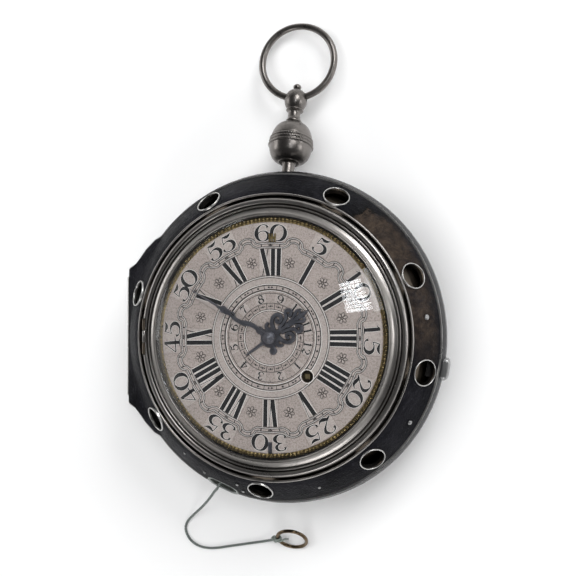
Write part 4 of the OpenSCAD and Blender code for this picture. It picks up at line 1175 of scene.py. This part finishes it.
# ------------------------------------------------------------ the main dial
def roman_parts(text):
    """Letters of a Roman numeral with their x centres in millimetres, and the total width."""
    out = []
    x = 0.0
    items = []
    for ch in text:
        if ch == "I":
            items.append(("I", x + 0.85))
            x += 2.62
        elif ch == "V":
            items.append(("V", x + 1.9))
            x += 4.4
        elif ch == "X":
            items.append(("X", x + 2.2))
            x += 4.9
    total = x - 0.95
    for kind, cx in items:
        out.append((kind, cx - total / 2))
    return out, total


def track_path(off, n=14):
    """Centre line of the arcaded minute track, moved outward by off."""
    pts = []
    R0, rb = 36.35, 2.75
    for h in range(12):
        c0 = h * 30.0
        # flat behind the numeral
        for i in range(n + 1):
            a = -8.6 + 17.2 * i / n
            pts.append((c0 + a, R0 + off, 0))
        # round arch between numerals, centred 15 degrees on
        for i in range(1, 18):
            q = math.pi * (1 - i / 18.0)
            rr = rb + off * 0.9
            u = math.cos(q) * (rr + 0.2)
            v = math.sin(q) ** 0.8 * rr
            base = R0 + 0.1 + off * 0.15
            r = base + v
            pts.append((c0 + 15 + math.degrees(u / 38.2), r, 0))
    return [clock(a, r)[:2] for a, r, _ in pts]


def track_r(a, off=0.0):
    d = (a % 30) - 15
    w = math.radians(abs(d)) * 38.2
    if w < 2.95:
        return 36.45 + off + 2.75 * math.sqrt(max(0.0, 1 - (w / 2.95) ** 2)) ** 0.8
    return 36.35 + off


def dial():
    # pieces in ridge take the near-white dial colour: a painted highlight on the raised rims and round the numerals
    pol, ridge, wax, ground = Relief(), Relief(), Relief(), Relief()
    # --- raised plain ring round the centre
    plain, division, inner_ridge, lines = Relief(), Relief(), Relief(), Relief()
    plain.ring(22.4, 2.5, Z, Z + 0.20, 0.12)
    ridge.ring(23.90, 0.40, Z, Z + 0.34, 0.12)
    inner_ridge.ring(21.02, 0.40, Z, Z + 0.32, 0.12)
    # thin black ring just outside the bright ridge: painted shade at its foot
    wax.ring(24.22, 0.26, Z, Z + 0.05, 0.02)
    wax.ring(23.52, 0.16, Z, Z + 0.23, 0.02)
    # --- division ring: boxes with dots
    division.ring(19.72, 1.75, Z, Z + 0.14, 0.06)
    lines.ring(20.56, 0.28, Z, Z + 0.17, 0.02)
    lines.ring(18.98, 0.28, Z, Z + 0.17, 0.02)
    for k in range(24):
        a = 7.5 + 15 * k
        wax.ribbon([clock(a, 19.05)[:2] + (0.24,), clock(a, 20.5)[:2] + (0.30,)], Z, Z + 0.17, 0.02)
        c = 15 * k
        if c == 135:
            continue
        if k % 2 == 0:
            for s in (-1.9, 1.9):
                q = place([(-0.55, 0, 0), (0, 0.42, 0), (0.55, 0, 0), (0, -0.42, 0)], c + s, 19.78)
                wax.poly([p[:2] for p in q], Z, Z + 0.18, 0.03)
            q = [clock(c - 3.4, 19.78)[:2] + (0.12,), clock(c, 19.78)[:2] + (0.12,), clock(c + 3.4, 19.78)[:2] + (0.12,)]
            wax.ribbon(q, Z, Z + 0.165, 0.02)
        else:
            q = place([(-0.6, 0, 0), (0, 0.46, 0), (0.6, 0, 0), (0, -0.46, 0)], c, 19.78)
            wax.poly([p[:2] for p in q], Z, Z + 0.18, 0.03)
            q = [clock(c - 1.7, 19.78)[:2] + (0.07,), clock(c + 1.7, 19.78)[:2] + (0.07,)]
            wax.ribbon(q, Z, Z + 0.165, 0.01)
    # --- Roman numerals on raised pads
    names = ["XII", "I", "II", "III", "IIII", "V", "VI", "VII", "VIII", "IX", "X", "XI"]
    r0, r1 = 24.35, 34.95
    for h, text in enumerate(names):
        c = 30.0 * h
        items, total = roman_parts(text)
        k = 0.93 if len(text) < 4 else 0.90
        half = total / 2 * k

        def loc(u, r):
            s = 0.93 + 0.07 * (r - r0) / (r1 - r0)
            return clock(0, 0)[:2] if False else place([(u * s, 0, 0)], c, r)[0][:2]
        # the pad
        pad = [loc(-half - 0.75, r0 - 0.35), loc(-half - 0.62, r0 + 2), loc(-half - 0.55, r1 - 1.5),
               loc(-half - 0.75, r1 + 0.35), loc(half + 0.75, r1 + 0.35), loc(half + 0.55, r1 - 1.5),
               loc(half + 0.62, r0 + 2), loc(half + 0.75, r0 - 0.35)]
        pol.poly(pad, Z, Z + 0.16, 0.12)
        for kind, cx in items:
            cx *= k

            def bar(x0, x1, w, relief=wax, z=0.22, grow=0.0):
                a0, a1 = loc(x0, r0), loc(x1, r1)
                relief.ribbon([(a0[0], a0[1], w), (a1[0], a1[1], w * 1.04)], Z, Z + z, 0.03, grow=grow)
            # each black bar sits on a wider bar in the near-white ridge colour: a painted highlight rim
            if kind == "I":
                bar(cx, cx, 2.12, ridge, 0.20, 0.0)
                bar(cx, cx, 1.74)
            elif kind == "V":
                bar(cx + 0.10, cx - 1.05, 2.15, ridge, 0.20)
                bar(cx + 0.10, cx - 1.05, 1.76)
                bar(cx + 0.55, cx + 1.50, 0.62, ridge, 0.20)
                bar(cx + 0.55, cx + 1.50, 0.36)
                w0 = [loc(cx - 0.15, r0), loc(cx + 0.7, r0), loc(cx + 0.3, r0 + 3.4)]
                wax.poly(w0, Z, Z + 0.215, 0.02)
            elif kind == "X":
                bar(cx - 1.25, cx + 1.25, 0.36, wax, 0.20)
                bar(cx + 1.28, cx - 1.28, 2.15, ridge, 0.21)
                bar(cx + 1.28, cx - 1.28, 1.78, wax, 0.23)
        # fine serif lines at both ends
        for rr in (r0 - 0.02, r1 + 0.02):
            a, b = loc(-half - 0.15, rr), loc(half + 0.15, rr)
            wax.ribbon([(a[0], a[1], 0.13), (b[0], b[1], 0.13)], Z, Z + 0.235, 0.02)
    # --- arcaded minute track: polished band with two engraved lines; its bright edge lines carry a painted highlight and the thin black lines outside them are painted shade
    inner, outer, mid = track_path(-0.78), track_path(0.78), track_path(0.0)
    band = [(x, y, 1.5) for x, y in mid]
    pol.ribbon(band, Z, Z + 0.13, 0.06, closed=True)
    for path, w in ((inner, 0.30), (outer, 0.30)):
        ridge.ribbon([(x, y, w) for x, y in path], Z, Z + 0.34, 0.10, closed=True)
    for off in (-0.54, 0.54):
        wax.ribbon([(x, y, 0.27) for x, y in track_path(off)], Z, Z + 0.18, 0.02, closed=True)
    # thin black lines just outside the bright edges: painted shade at their foot
    for off in (-1.03, 1.03):
        wax.ribbon([(x, y, 0.26) for x, y in track_path(off)], Z, Z + 0.05, 0.02, closed=True)
    for m in range(60):
        a = 6.0 * m
        ra, rb = track_r(a, -0.55), track_r(a, 0.55)
        w = 0.36
        wax.ribbon([clock(a, ra)[:2] + (w,), clock(a, rb)[:2] + (w,)], Z, Z + 0.19, 0.02)
        if m % 5 == 0:
            for s in (-0.55, 0.55):
                q = place([(-0.38 + s, 0, 0), (s, 0.36, 0), (0.38 + s, 0, 0), (s, -0.36, 0)], a, 36.35)
                wax.poly([p[:2] for p in q], Z, Z + 0.20, 0.02)
    # --- minute numerals on raised pads
    for h in range(12):
        c = 30.0 * h
        text = str(60 if h == 0 else 5 * h)
        half = 7.0 if len(text) == 2 else 4.4
        ra, rb = 37.75, 45.35
        pad = [place([(-half * 0.93, 0, 0)], c, ra)[0][:2], place([(half * 0.93, 0, 0)], c, ra)[0][:2]]
        ang = math.degrees(math.asin(half / rb))
        arc = [clock(c + ang - 2 * ang * i / 8, rb)[:2] for i in range(9)]
        pol.poly(pad + arc, Z, Z + 0.17, 0.16)
        # the bolt needs a gap between the two digits at six o'clock
        gap = 2.0 if text == "30" else 0.12
        for st, closed in strokes(text, c, 38.0, 6.6, 7.6, gap, 1.55):
            st = [(x, y, max(w, 0.42)) for x, y, w in st]
            # bright rim round each stroke: painted highlight
            ridge.ribbon([(x, y, w + 0.34) for x, y, w in st], Z, Z + 0.20, 0.05, closed=closed)
            wax.ribbon(st, Z, Z + 0.235, 0.02, closed=closed)
    # --- compartments: fine engraved edge round each, and a rosette in it
    for h in range(12):
        c = 15 + 30.0 * h
        for p in range(6):
            ang = p * 60
            pet = ell(0, 1.28, 0.52, 0.86, 0, 0, 12)
            rr = math.radians(ang)
            q = [(x * math.cos(rr) - y * math.sin(rr), x * math.sin(rr) + y * math.cos(rr), 0) for x, y, _ in pet]
            q = place(q, c, 30.2)
            pol.poly([t[:2] for t in q], Z, Z + 0.36, 0.20)
            q2 = [(x * 0.5, 1.2 + (y - 1.2) * 0.5) for x, y, _ in pet]
            q2 = [(x * math.cos(rr) - y * math.sin(rr), x * math.sin(rr) + y * math.cos(rr), 0) for x, y in q2]
            q2 = place(q2, c, 30.2)
            rr2 = rr + math.radians(30)
            d = place([(-0.16 * math.cos(rr2) - 1.25 * math.sin(rr2), -0.16 * math.sin(rr2) + 1.25 * math.cos(rr2), 0.20),
                       (-0.95 * math.sin(rr2), 0.95 * math.cos(rr2), 0.22)], c, 30.2)
            wax.ribbon(d, Z, Z + 0.07, 0.02)
            ring = place([(x * math.cos(rr) - y * math.sin(rr), x * math.sin(rr) + y * math.cos(rr), 0.13)
                          for x, y, _ in ell(0, 1.28, 0.60, 0.94, 0, 0, 16)], c, 30.2)
            wax.ribbon(ring, Z, Z + 0.04, 0.02, closed=True)
        q = place([t for t in ell(0, 0, 0.36, 0.36, 0, 0, 14)], c, 30.2)
        pol.poly([t[:2] for t in q], Z, Z + 0.3, 0.12)
        q = place([t[:2] + (0.10,) for t in ell(0, 0, 0.52, 0.52, 0, 0, 20)], c, 30.2)
        wax.ribbon(q, Z, Z + 0.04, 0.02, closed=True)
    # the winding hole goes through every ring that it meets
    hole = (15.1, -15.0)
    for nm, rl, mat in (("dial_ring_plain", plain, DIAL_POL), ("dial_ring_division", division, DIAL_POL),
                        ("dial_ring_ridge", inner_ridge, DIAL_RIDGE_HIGHLIGHT), ("dial_ring_lines", lines, WAX)):
        ob = make(nm, rl.v, rl.f, mat, "outer_back", "silver_dial", smooth=False)
        subtract(ob, [cut_cyl("cw_" + nm, move(hole[0], hole[1], Z), 2.45, -1, 2)])
        for q in ob.data.polygons:
            q.use_smooth = False
    # bright rim round the winding hole: painted highlight
    rim = [(hole[0] + 2.66 * math.cos(2 * math.pi * i / 64), hole[1] + 2.66 * math.sin(2 * math.pi * i / 64), 0.42)
           for i in range(64)]
    ridge.ribbon(rim, Z, Z + 0.30, 0.10, closed=True)
    make("dial_raised", pol.v, pol.f, DIAL_POL, "outer_back", "silver_dial", smooth=False)
    make("dial_ridges", ridge.v, ridge.f, DIAL_RIDGE_HIGHLIGHT, "outer_back", "silver_dial", smooth=False)
    make("dial_black", wax.v, wax.f, WAX, "outer_back", "silver_dial", smooth=False)


dial()


# -------------------------------------------------------------- alarm disc
def alarm():
    za = 43.85
    # pieces in ridge take the near-white dial colour: a painted highlight on the raised rims and round the numerals
    pol, ridge, wax = Relief(), Relief(), Relief()
    ridge.ring(18.45, 0.3, za, za + 0.14, 0.06)
    ridge.ring(10.85, 0.3, za, za + 0.14, 0.08)
    wax.ring(17.5, 0.20, za, za + 0.06, 0.02)
    wax.ring(13.55, 0.19, za, za + 0.06, 0.02)
    wax.ring(11.15, 0.19, za, za + 0.06, 0.02)
    wax.ring(10.5, 0.14, za, za + 0.04, 0.02)
    for n in range(1, 13):
        c = (30 * n + 105) % 360
        half = 2.5 if n < 10 else 3.1
        pad = [place([(u, 0, 0)], c, r)[0][:2] for u, r in
               ((-half * 0.85, 13.7), (half * 0.85, 13.7), (half, 17.3), (-half, 17.3))]
        pol.poly(pad, za, za + 0.09, 0.08)
        for st, closed in strokes(str(n), c, 13.95, 3.2, 3.1, 0.14, 1.6):
            ridge.ribbon([(x, y, w + 0.14) for x, y, w in st], za, za + 0.10, 0.02, closed=closed)
            wax.ribbon([(x, y, max(w, 0.31)) for x, y, w in st], za, za + 0.125, 0.01, closed=closed)
        # inner track: boxes with marks
        for j, cc in enumerate((c, c + 15)):
            q = place([(-0.5, 0, 0), (0, 0.4, 0), (0.5, 0, 0), (0, -0.4, 0)], cc, 12.35)
            wax.poly([p[:2] for p in q], za, za + 0.08, 0.03)
            for s in (-3.4, 3.4):
                q = place([(-0.28, 0, 0), (0, 0.24, 0), (0.28, 0, 0), (0, -0.24, 0)], cc + s, 12.35)
                wax.poly([p[:2] for p in q], za, za + 0.07, 0.02)
            wax.ribbon([clock(cc + 7.5, 11.25)[:2] + (0.2,), clock(cc + 7.5, 13.45)[:2] + (0.2,)], za, za + 0.06, 0.01)
        wax.ribbon([clock(c + 15, 16.9)[:2] + (0.10,), clock(c + 15, 17.4)[:2] + (0.10,)], za, za + 0.06, 0.01)
    make("alarm_raised", pol.v, pol.f, DIAL_POL, "alarm_setting", "silver_dial", smooth=False)
    make("alarm_ridges", ridge.v, ridge.f, DIAL_RIDGE_HIGHLIGHT, "alarm_setting", "silver_dial", smooth=False)
    make("alarm_black", wax.v, wax.f, WAX, "alarm_setting", "silver_dial", smooth=False)


alarm()
gilt_ring()


# ------------------------------------------------------------------- hands
def turn(pts, a):
    t = math.radians(a)
    return [(x * math.cos(t) + y * math.sin(t), -x * math.sin(t) + y * math.cos(t)) + tuple(p)
            for x, y, *p in pts]


def hands():
    # minute hand: waving root, a knob, then a long blade
    h = Relief()
    A = 300.0
    z0, z1 = 45.9, 46.35
    root = smooth_profile([(0, 2.0, 2.6), (0.25, 4.2, 1.9), (0.75, 6.5, 1.75), (0.75, 8.8, 1.9),
                           (0.1, 11.0, 2.1), (-0.6, 13.2, 1.8), (-0.7, 15.6, 1.6), (-0.2, 18.0, 1.7),
                           (0.15, 20.0, 1.9), (0.0, 21.6, 2.5), (0.0, 22.8, 2.0), (0.0, 24.2, 0.95),
                           (0.0, 28.0, 0.8), (0.0, 34.0, 0.5), (0.0, 38.4, 0.16)], 5)
    h.ribbon(turn(root, A), z0, z1, 0.28)
    for (x, y, w) in ((1.1, 5.4, 0.7), (-0.9, 11.6, 0.7), (0.9, 17.6, 0.6), (-0.8, 20.4, 0.7)):
        s = 1 if x > 0 else -1
        curl = smooth_profile([(0.0, y - 1.4, 0.5), (x * 0.9, y - 0.5, 0.6), (x * 1.15, y + 0.4, 0.65),
                               (x * 0.8, y + 0.9, 0.5)], 4)
        h.ribbon(turn(curl, A), z0, z1 - 0.04, 0.12)
    h.poly([p[:2] for p in turn([(1.5 * math.cos(t), 22.1 + 1.5 * math.sin(t)) for t in
            [2 * math.pi * i / 24 for i in range(24)]], A)], z0, z1 + 0.1, 0.45)
    disc = [(2.6 * math.cos(2 * math.pi * i / 40), 2.6 * math.sin(2 * math.pi * i / 40)) for i in range(40)]
    h.poly(disc, z0, z1, 0.25)
    ob = make("minute_hand_steel", h.v, h.f, BLUED, "minute", "blued_steel", auto=25)
    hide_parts("minute_hand")

    # hour hand: pierced scrolls
    h = Relief()
    A = 55.0
    z0, z1 = 44.4, 44.85

    def rib(pts, dz=0.0, ch=0.13):
        pts = [(x, y, w * 1.42) for x, y, w in pts]
        h.ribbon(turn(smooth_profile(pts, 5), A), z0, z1 + dz, ch + 0.08)
    n = 48
    h.ribbon(turn([(3.0 * math.cos(2 * math.pi * i / n), 3.0 * math.sin(2 * math.pi * i / n), 1.9)
                   for i in range(n)], A), z0, z1 + 0.03, 0.3, closed=True)
    k = 0.0
    for s in (-1, 1):
        # big outer scroll of the head
        rib([(s * 1.6, 3.0, 1.3), (s * 3.9, 3.6, 1.25), (s * 5.7, 5.2, 1.2), (s * 5.9, 7.2, 1.2),
             (s * 4.6, 8.3, 1.2), (s * 3.1, 7.7, 1.15), (s * 2.9, 6.3, 1.05), (s * 3.9, 5.8, 1.0),
             (s * 4.4, 6.6, 1.2)], 0.01)
        # second scroll
        rib([(s * 1.0, 5.0, 1.1), (s * 1.7, 8.0, 1.0), (s * 3.0, 10.2, 1.05), (s * 4.4, 10.6, 1.05),
             (s * 4.9, 11.9, 1.1), (s * 3.9, 13.0, 1.05), (s * 2.6, 12.3, 1.0), (s * 2.8, 11.1, 1.0)], 0.02)
        # tip scroll
        rib([(s * 0.5, 9.5, 0.9), (s * 1.0, 12.0, 0.9), (s * 2.0, 14.0, 0.95), (s * 2.4, 15.2, 0.9),
             (s * 1.5, 15.9, 0.8), (s * 0.6, 15.0, 0.7)], 0.015)
        # leaf under the head
        rib([(s * 2.4, 1.6, 1.3), (s * 3.9, 1.0, 1.1), (s * 4.9, 1.6, 1.0), (s * 5.3, 2.8, 0.8)], -0.01)
        # rear lobe
        rib([(s * 2.6, -0.6, 1.5), (s * 4.2, -1.4, 1.3), (s * 5.0, -1.9, 1.2)], 0.0)
        q = [(s * 5.0 + 1.55 * math.cos(2 * math.pi * i / 24), -1.95 + 1.55 * math.sin(2 * math.pi * i / 24)) for i in range(24)]
        h.poly([p[:2] for p in turn(q, A)], z0, z1 + 0.05, 0.4)
    rib([(0, 2.6, 1.7), (0, 6.0, 1.2), (0.1, 9.5, 1.3), (0, 13.0, 1.2), (0, 16.0, 1.4), (0, 17.4, 0.8), (0, 19.4, 0.15)], 0.04, 0.3)
    for y, r in ((8.6, 1.2), (13.2, 1.0), (16.0, 0.95)):
        q = [(r * math.cos(2 * math.pi * i / 20), y + r * math.sin(2 * math.pi * i / 20)) for i in range(20)]
        h.poly([p[:2] for p in turn(q, A)], z0, z1 + 0.06, 0.3)
    rib([(0, -2.8, 1.6), (0, -5.0, 0.9), (0, -9.0, 0.75), (0, -12.2, 0.35)], 0.0, 0.2)
    ob = make("hour_hand_steel", h.v, h.f, BLUED, "hour", "blued_steel", auto=25)
    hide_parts("hour_hand")

    # domed boss with a bright pip
    prof = smooth_profile([(0.0001, 46.72), (2.2, 46.72), (2.25, 46.9), (2.1, 47.15), (1.8, 47.4),
                           (1.55, 47.45), (1.35, 47.55), (1.1, 47.85), (0.72, 48.0), (0.6, 48.2),
                           (0.3, 48.36), (0.0001, 48.4)], 4)
    v, f = lathe(prof, 64)
    ob = make("boss_domed", v, f, BLUED, "minute", "blued_steel", auto=60)
    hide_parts("hand_boss")


hands()


# ---------------------------------------------------------- pendant and bow
def pendant():
    prof = smooth_profile([(0.0001, -3.8), (2.5, -3.8), (2.5, 1.0), (2.52, 5.6), (2.62, 6.4),
                           (2.9, 6.7), (2.9, 7.05), (2.4, 7.1), (0.0001, 7.1)], 3)
    v, f = lathe(prof, 64)
    ob = make("stem_turned", xf(v, ON_PENDANT), f, PENDANT, "outer_back", "pendant_metal", auto=50)
    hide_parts("pendant_stem")
    s = 16
    prof = [(1.3, -8.85), (2.6, -8.9), (2.65, -9.22), (3.1, -9.28), (3.7, -9.25), (4.2, -9.08),
            (4.5, -8.72), (5.3, -8.35), (6.4, -7.75), (7.7, -6.15), (8.38, -4.4), (8.68, -2.8),
            (8.8, -2.25), (8.95, -2.1), (9.15, -1.95), (9.28, -1.62), (9.15, -1.3), (8.85, -1.12),
            (8.78, -0.85), (8.85, -0.62), (9.02, -0.42), (9.1, -0.08), (9.02, 0.22), (8.8, 0.42),
            (8.7, 0.62), (8.78, 0.82), (8.92, 1.0), (8.93, 1.25), (8.78, 1.52), (8.45, 1.75),
            (8.4, 2.3), (8.2, 3.2), (7.6, 5.0), (6.5, 6.8), (5.0, 8.1), (3.9, 8.6), (3.2, 8.8),
            (2.4, 8.95), (1.32, 9.1)]
    prof = smooth_profile(prof, 3)

    def rope(t, r, z):
        if r > 8.82 and -2.2 < z < 1.5:
            tw = math.sin(54 * t + z * 3.0)
            return r + 0.05 * tw, z
        return r, z
    v, f = lathe(prof, 216, f=rope)
    v = [(x, y, z + s) for x, y, z in v]
    ob = make("ball_turned", xf(v, ON_PENDANT), f, PENDANT, "outer_back", "pendant_metal", auto=60)
    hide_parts("pendant_ball")
    p = 35.3
    prof = [(0.0001, -20.5), (1.22, -20.5), (1.22, -9.95), (3.0, -9.9), (3.2, -9.65), (3.18, -9.3),
            (2.85, -8.85), (2.62, -8.2), (2.5, -7.2), (2.5, -6.2), (2.68, -5.5), (3.1, -5.05),
            (3.5, -4.75), (3.55, -4.5), (3.4, -4.15), (3.15, -3.98), (3.45, -3.6), (3.95, -2.85),
            (4.45, -1.6), (4.65, -0.2), (4.6, 0.9), (4.25, 2.1), (3.6, 3.3), (2.8, 4.1), (1.9, 4.62),
            (1.25, 4.8), (1.05, 5.0), (1.2, 5.3), (1.5, 5.6), (1.65, 6.1), (1.55, 6.65), (1.2, 7.1),
            (0.6, 7.42), (0.0001, 7.5)]
    v, f = lathe(smooth_profile(prof, 3), 96)
    v = [(x, y, z + p) for x, y, z in v]
    ob = make("post_turned", xf(v, ON_PENDANT), f, PENDANT, "bow_swivel_post", "pendant_metal", auto=60)
    c = cut_cyl("eye", ON_PENDANT @ move(-8, 0, p + 1.6) @ Matrix.Rotation(math.radians(90), 4, "Y"), 1.9, 0, 16, 40)
    subtract(ob, [c])
    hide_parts("bow_post")
    # bow ring, slightly worn thin where it hangs
    cy = 64 + 36.9 * math.cos(math.radians(19.8))
    cz = 22.34 - 36.9 * math.sin(math.radians(19.8))
    n, k = 160, 20
    v, f = [], []
    for i in range(n):
        t = 2 * math.pi * i / n
        thin = 1 - 0.05 * math.exp(-((t - math.pi / 2) / 0.5) ** 2) + 0.012 * math.sin(7 * t)
        for j in range(k):
            w = 2 * math.pi * j / k
            rr = 1.42 * min(thin, 1.0)
            v.append(((15.5 + rr * math.cos(w)) * math.cos(t), (15.5 + rr * math.cos(w)) * math.sin(t),
                      rr * math.sin(w)))
    for i in range(n):
        for j in range(k):
            f.append((i * k + j, ((i + 1) % n) * k + j, ((i + 1) % n) * k + (j + 1) % k, i * k + (j + 1) % k))
    m = move(0, cy, cz) @ rotx(-10) @ move(0, 15.5 - 0.33, 0)
    ob = make("bow_turned", xf(v, m), f, PENDANT, "bow", "pendant_metal", auto=None)
    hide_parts("bow_ring")


pendant()


# -------------------------------------------- materials of the other nodes
LOOK = {
    "silver": SILVER, "silver_dark": SILVER_DARK, "silver_dial": DIAL_MATT,
    "pendant_metal": PENDANT, "gilt": GILT, "brass": BRASS, "bell_metal": BELL,
    "blued_steel": BLUED, "steel": STEEL, "bushing_metal": BUSH, "crystal": GLASS,
    "cord_fibre": CORD, "bronze": BRONZE, "leather_black": LEATHER,
}
for sub in frame["record"]["subparts"]:
    ob = NODES[sub["node"]]
    mat = LOOK[sub["material_slot"]]
    if ob.data.materials:
        for i in range(len(ob.data.materials)):
            ob.data.materials[i] = mat
    else:
        ob.data.materials.append(mat)
    if not ob.hide_render:
        for p in ob.data.polygons:
            p.use_smooth = True
        ob.data.set_sharp_from_angle(angle=math.radians(30))
# knuckles, rims and hole rings take the lighter silver copy: painted light where they fall in shade
for name in ("sound_hole_rings", "cover_pins", "outer_back_knuckles", "outer_front_knuckles",
             "outer_back_rim", "outer_front_rim"):
    NODES[name].data.materials[0] = SILVER_LIT
NODES["inner_case"].data.materials[0] = metal("case_tarnish", (0.21, 0.175, 0.14), (0.05, 0.04, 0.03),
                                              (0.32, 0.48), 260, 0.9)


# ------------------------------------------------------- floor and lighting
def stage():
    me = bpy.data.meshes.new("floor")
    s = 3.0
    me.from_pydata([(-s, -s, 0), (s, -s, 0), (s, s, 0), (-s, s, 0)], [], [(0, 1, 2, 3)])
    ob = bpy.data.objects.new("floor", me)
    bpy.context.scene.collection.objects.link(ob)
    m = Mat("pale_floor")
    col = m.mix(m.noise(8, 4, 0.5), (0.93, 0.93, 0.93), (0.95, 0.95, 0.948))
    m.principled(col, 0.0, 0.9)
    me.materials.append(m.m)
    w = bpy.data.worlds.new("studio")
    bpy.context.scene.world = w
    w.use_nodes = True
    t = w.node_tree
    bg = t.nodes["Background"]
    bg.inputs["Color"].default_value = (1, 1, 1, 1)
    # a bright horizon and a dark ceiling, as round a light table
    co = t.nodes.new("ShaderNodeTexCoord")
    sp = t.nodes.new("ShaderNodeSeparateXYZ")
    t.links.new(co.outputs["Generated"], sp.inputs[0])
    rp = t.nodes.new("ShaderNodeValToRGB")
    rp.color_ramp.elements[0].position = 0.05
    rp.color_ramp.elements[0].color = (0.62, 0.62, 0.62, 1)
    rp.color_ramp.elements[1].position = 0.62
    rp.color_ramp.elements[1].color = (0.07, 0.07, 0.072, 1)
    t.links.new(sp.outputs[2], rp.inputs[0])
    t.links.new(rp.outputs[0], bg.inputs["Color"])
    bg.inputs["Strength"].default_value = 1.0

    def area(name, loc, target, sx, sy, power, color=(1, 1, 1), glossy=True):
        L = bpy.data.lights.new(name, "AREA")
        L.shape = "RECTANGLE"
        L.size, L.size_y = sx, sy
        L.energy = power
        L.color = color
        o = bpy.data.objects.new(name, L)
        bpy.context.scene.collection.objects.link(o)
        d = Vector(target) - Vector(loc)
        o.matrix_world = Matrix.Translation(loc) @ d.to_track_quat("-Z", "Y").to_matrix().to_4x4()
        o.visible_glossy = glossy
        return o
    area("overhead", (-0.1, 0.15, 1.6), (0, 0, 0.03), 1.6, 1.6, 18.5, glossy=False)
    area("key", (0.68, 0.93, 0.96), (0, 0, 0.03), 0.6, 0.6, 9)
    area("left", (-1.38, 0.3, 0.50), (0, 0, 0.03), 0.7, 0.5, 2.6)
    area("low", (0.15, -1.2, 0.88), (0, 0, 0.03), 0.7, 0.35, 4)
    area("right", (1.45, 0.1, 0.52), (0, 0, 0.03), 0.5, 0.4, 2.5)

    # a small paned window whose reflection shows in the glass
    cam = camera.matrix_world.translation
    R, zc = 133.9, 54 - 133.9
    base = Vector((0, 0, zc * MM))

    def seen(px, py):
        """Where a line of sight through a pixel goes after it meets the glass."""
        d = camera.matrix_world.to_3x3() @ Vector(((px - 288) / 1600, (288 - py) / 1600, -1)).normalized()
        o = cam - base
        b = o.dot(d)
        hit = -b - math.sqrt(b * b - o.dot(o) + (R * MM) ** 2)
        P = cam + d * hit
        nrm = (P - base).normalized()
        ref = d - 2 * d.dot(nrm) * nrm
        return P, P + ref * 1.2

    def pane(name, quad, level, color):
        pts = [seen(*q) for q in quad]
        P = sum((p[0] for p in pts), Vector()) / 4
        c = sum((p[1] for p in pts), Vector()) / 4
        u = ((pts[1][1] + pts[2][1]) - (pts[0][1] + pts[3][1])) / 2
        v = ((pts[0][1] + pts[1][1]) - (pts[2][1] + pts[3][1])) / 2
        L = bpy.data.lights.new(name, "AREA")
        L.shape = "RECTANGLE"
        L.size, L.size_y = u.length, v.length
        L.energy = level * math.pi * u.length * v.length
        L.color = color
        o = bpy.data.objects.new(name, L)
        bpy.context.scene.collection.objects.link(o)
        zax = (c - P).normalized()
        xax = (u - u.dot(zax) * zax).normalized()
        yax = zax.cross(xax)
        mw = Matrix((xax, yax, zax)).transposed().to_4x4()
        mw.translation = c
        o.matrix_world = mw

    TL, TR, BR, BL = (338.5, 284), (357.5, 279), (371, 310), (346, 313.5)

    def at(u, v):
        return tuple((1 - v) * ((1 - u) * TL[k] + u * TR[k]) + v * ((1 - u) * BL[k] + u * BR[k])
                     for k in (0, 1))
    nx, ny = 5, 8
    for i in range(nx):
        for j in range(ny):
            u0, u1 = (i + 0.09) / nx, (i + 0.91) / nx
            v0, v1 = (j + 0.09) / ny, (j + 0.91) / ny
            pane("pane_%d%d" % (i, j), [at(u0, v0), at(u1, v0), at(u1, v1), at(u0, v1)],
                 9 + 3 * rnd.random(), (0.95, 0.97, 1.0))
    pane("streak", [(360, 270), (366, 268), (381, 310), (374, 312)], 3.0, (0.95, 0.97, 1.0))


stage()
bpy.context.scene.view_settings.view_transform = "Standard"
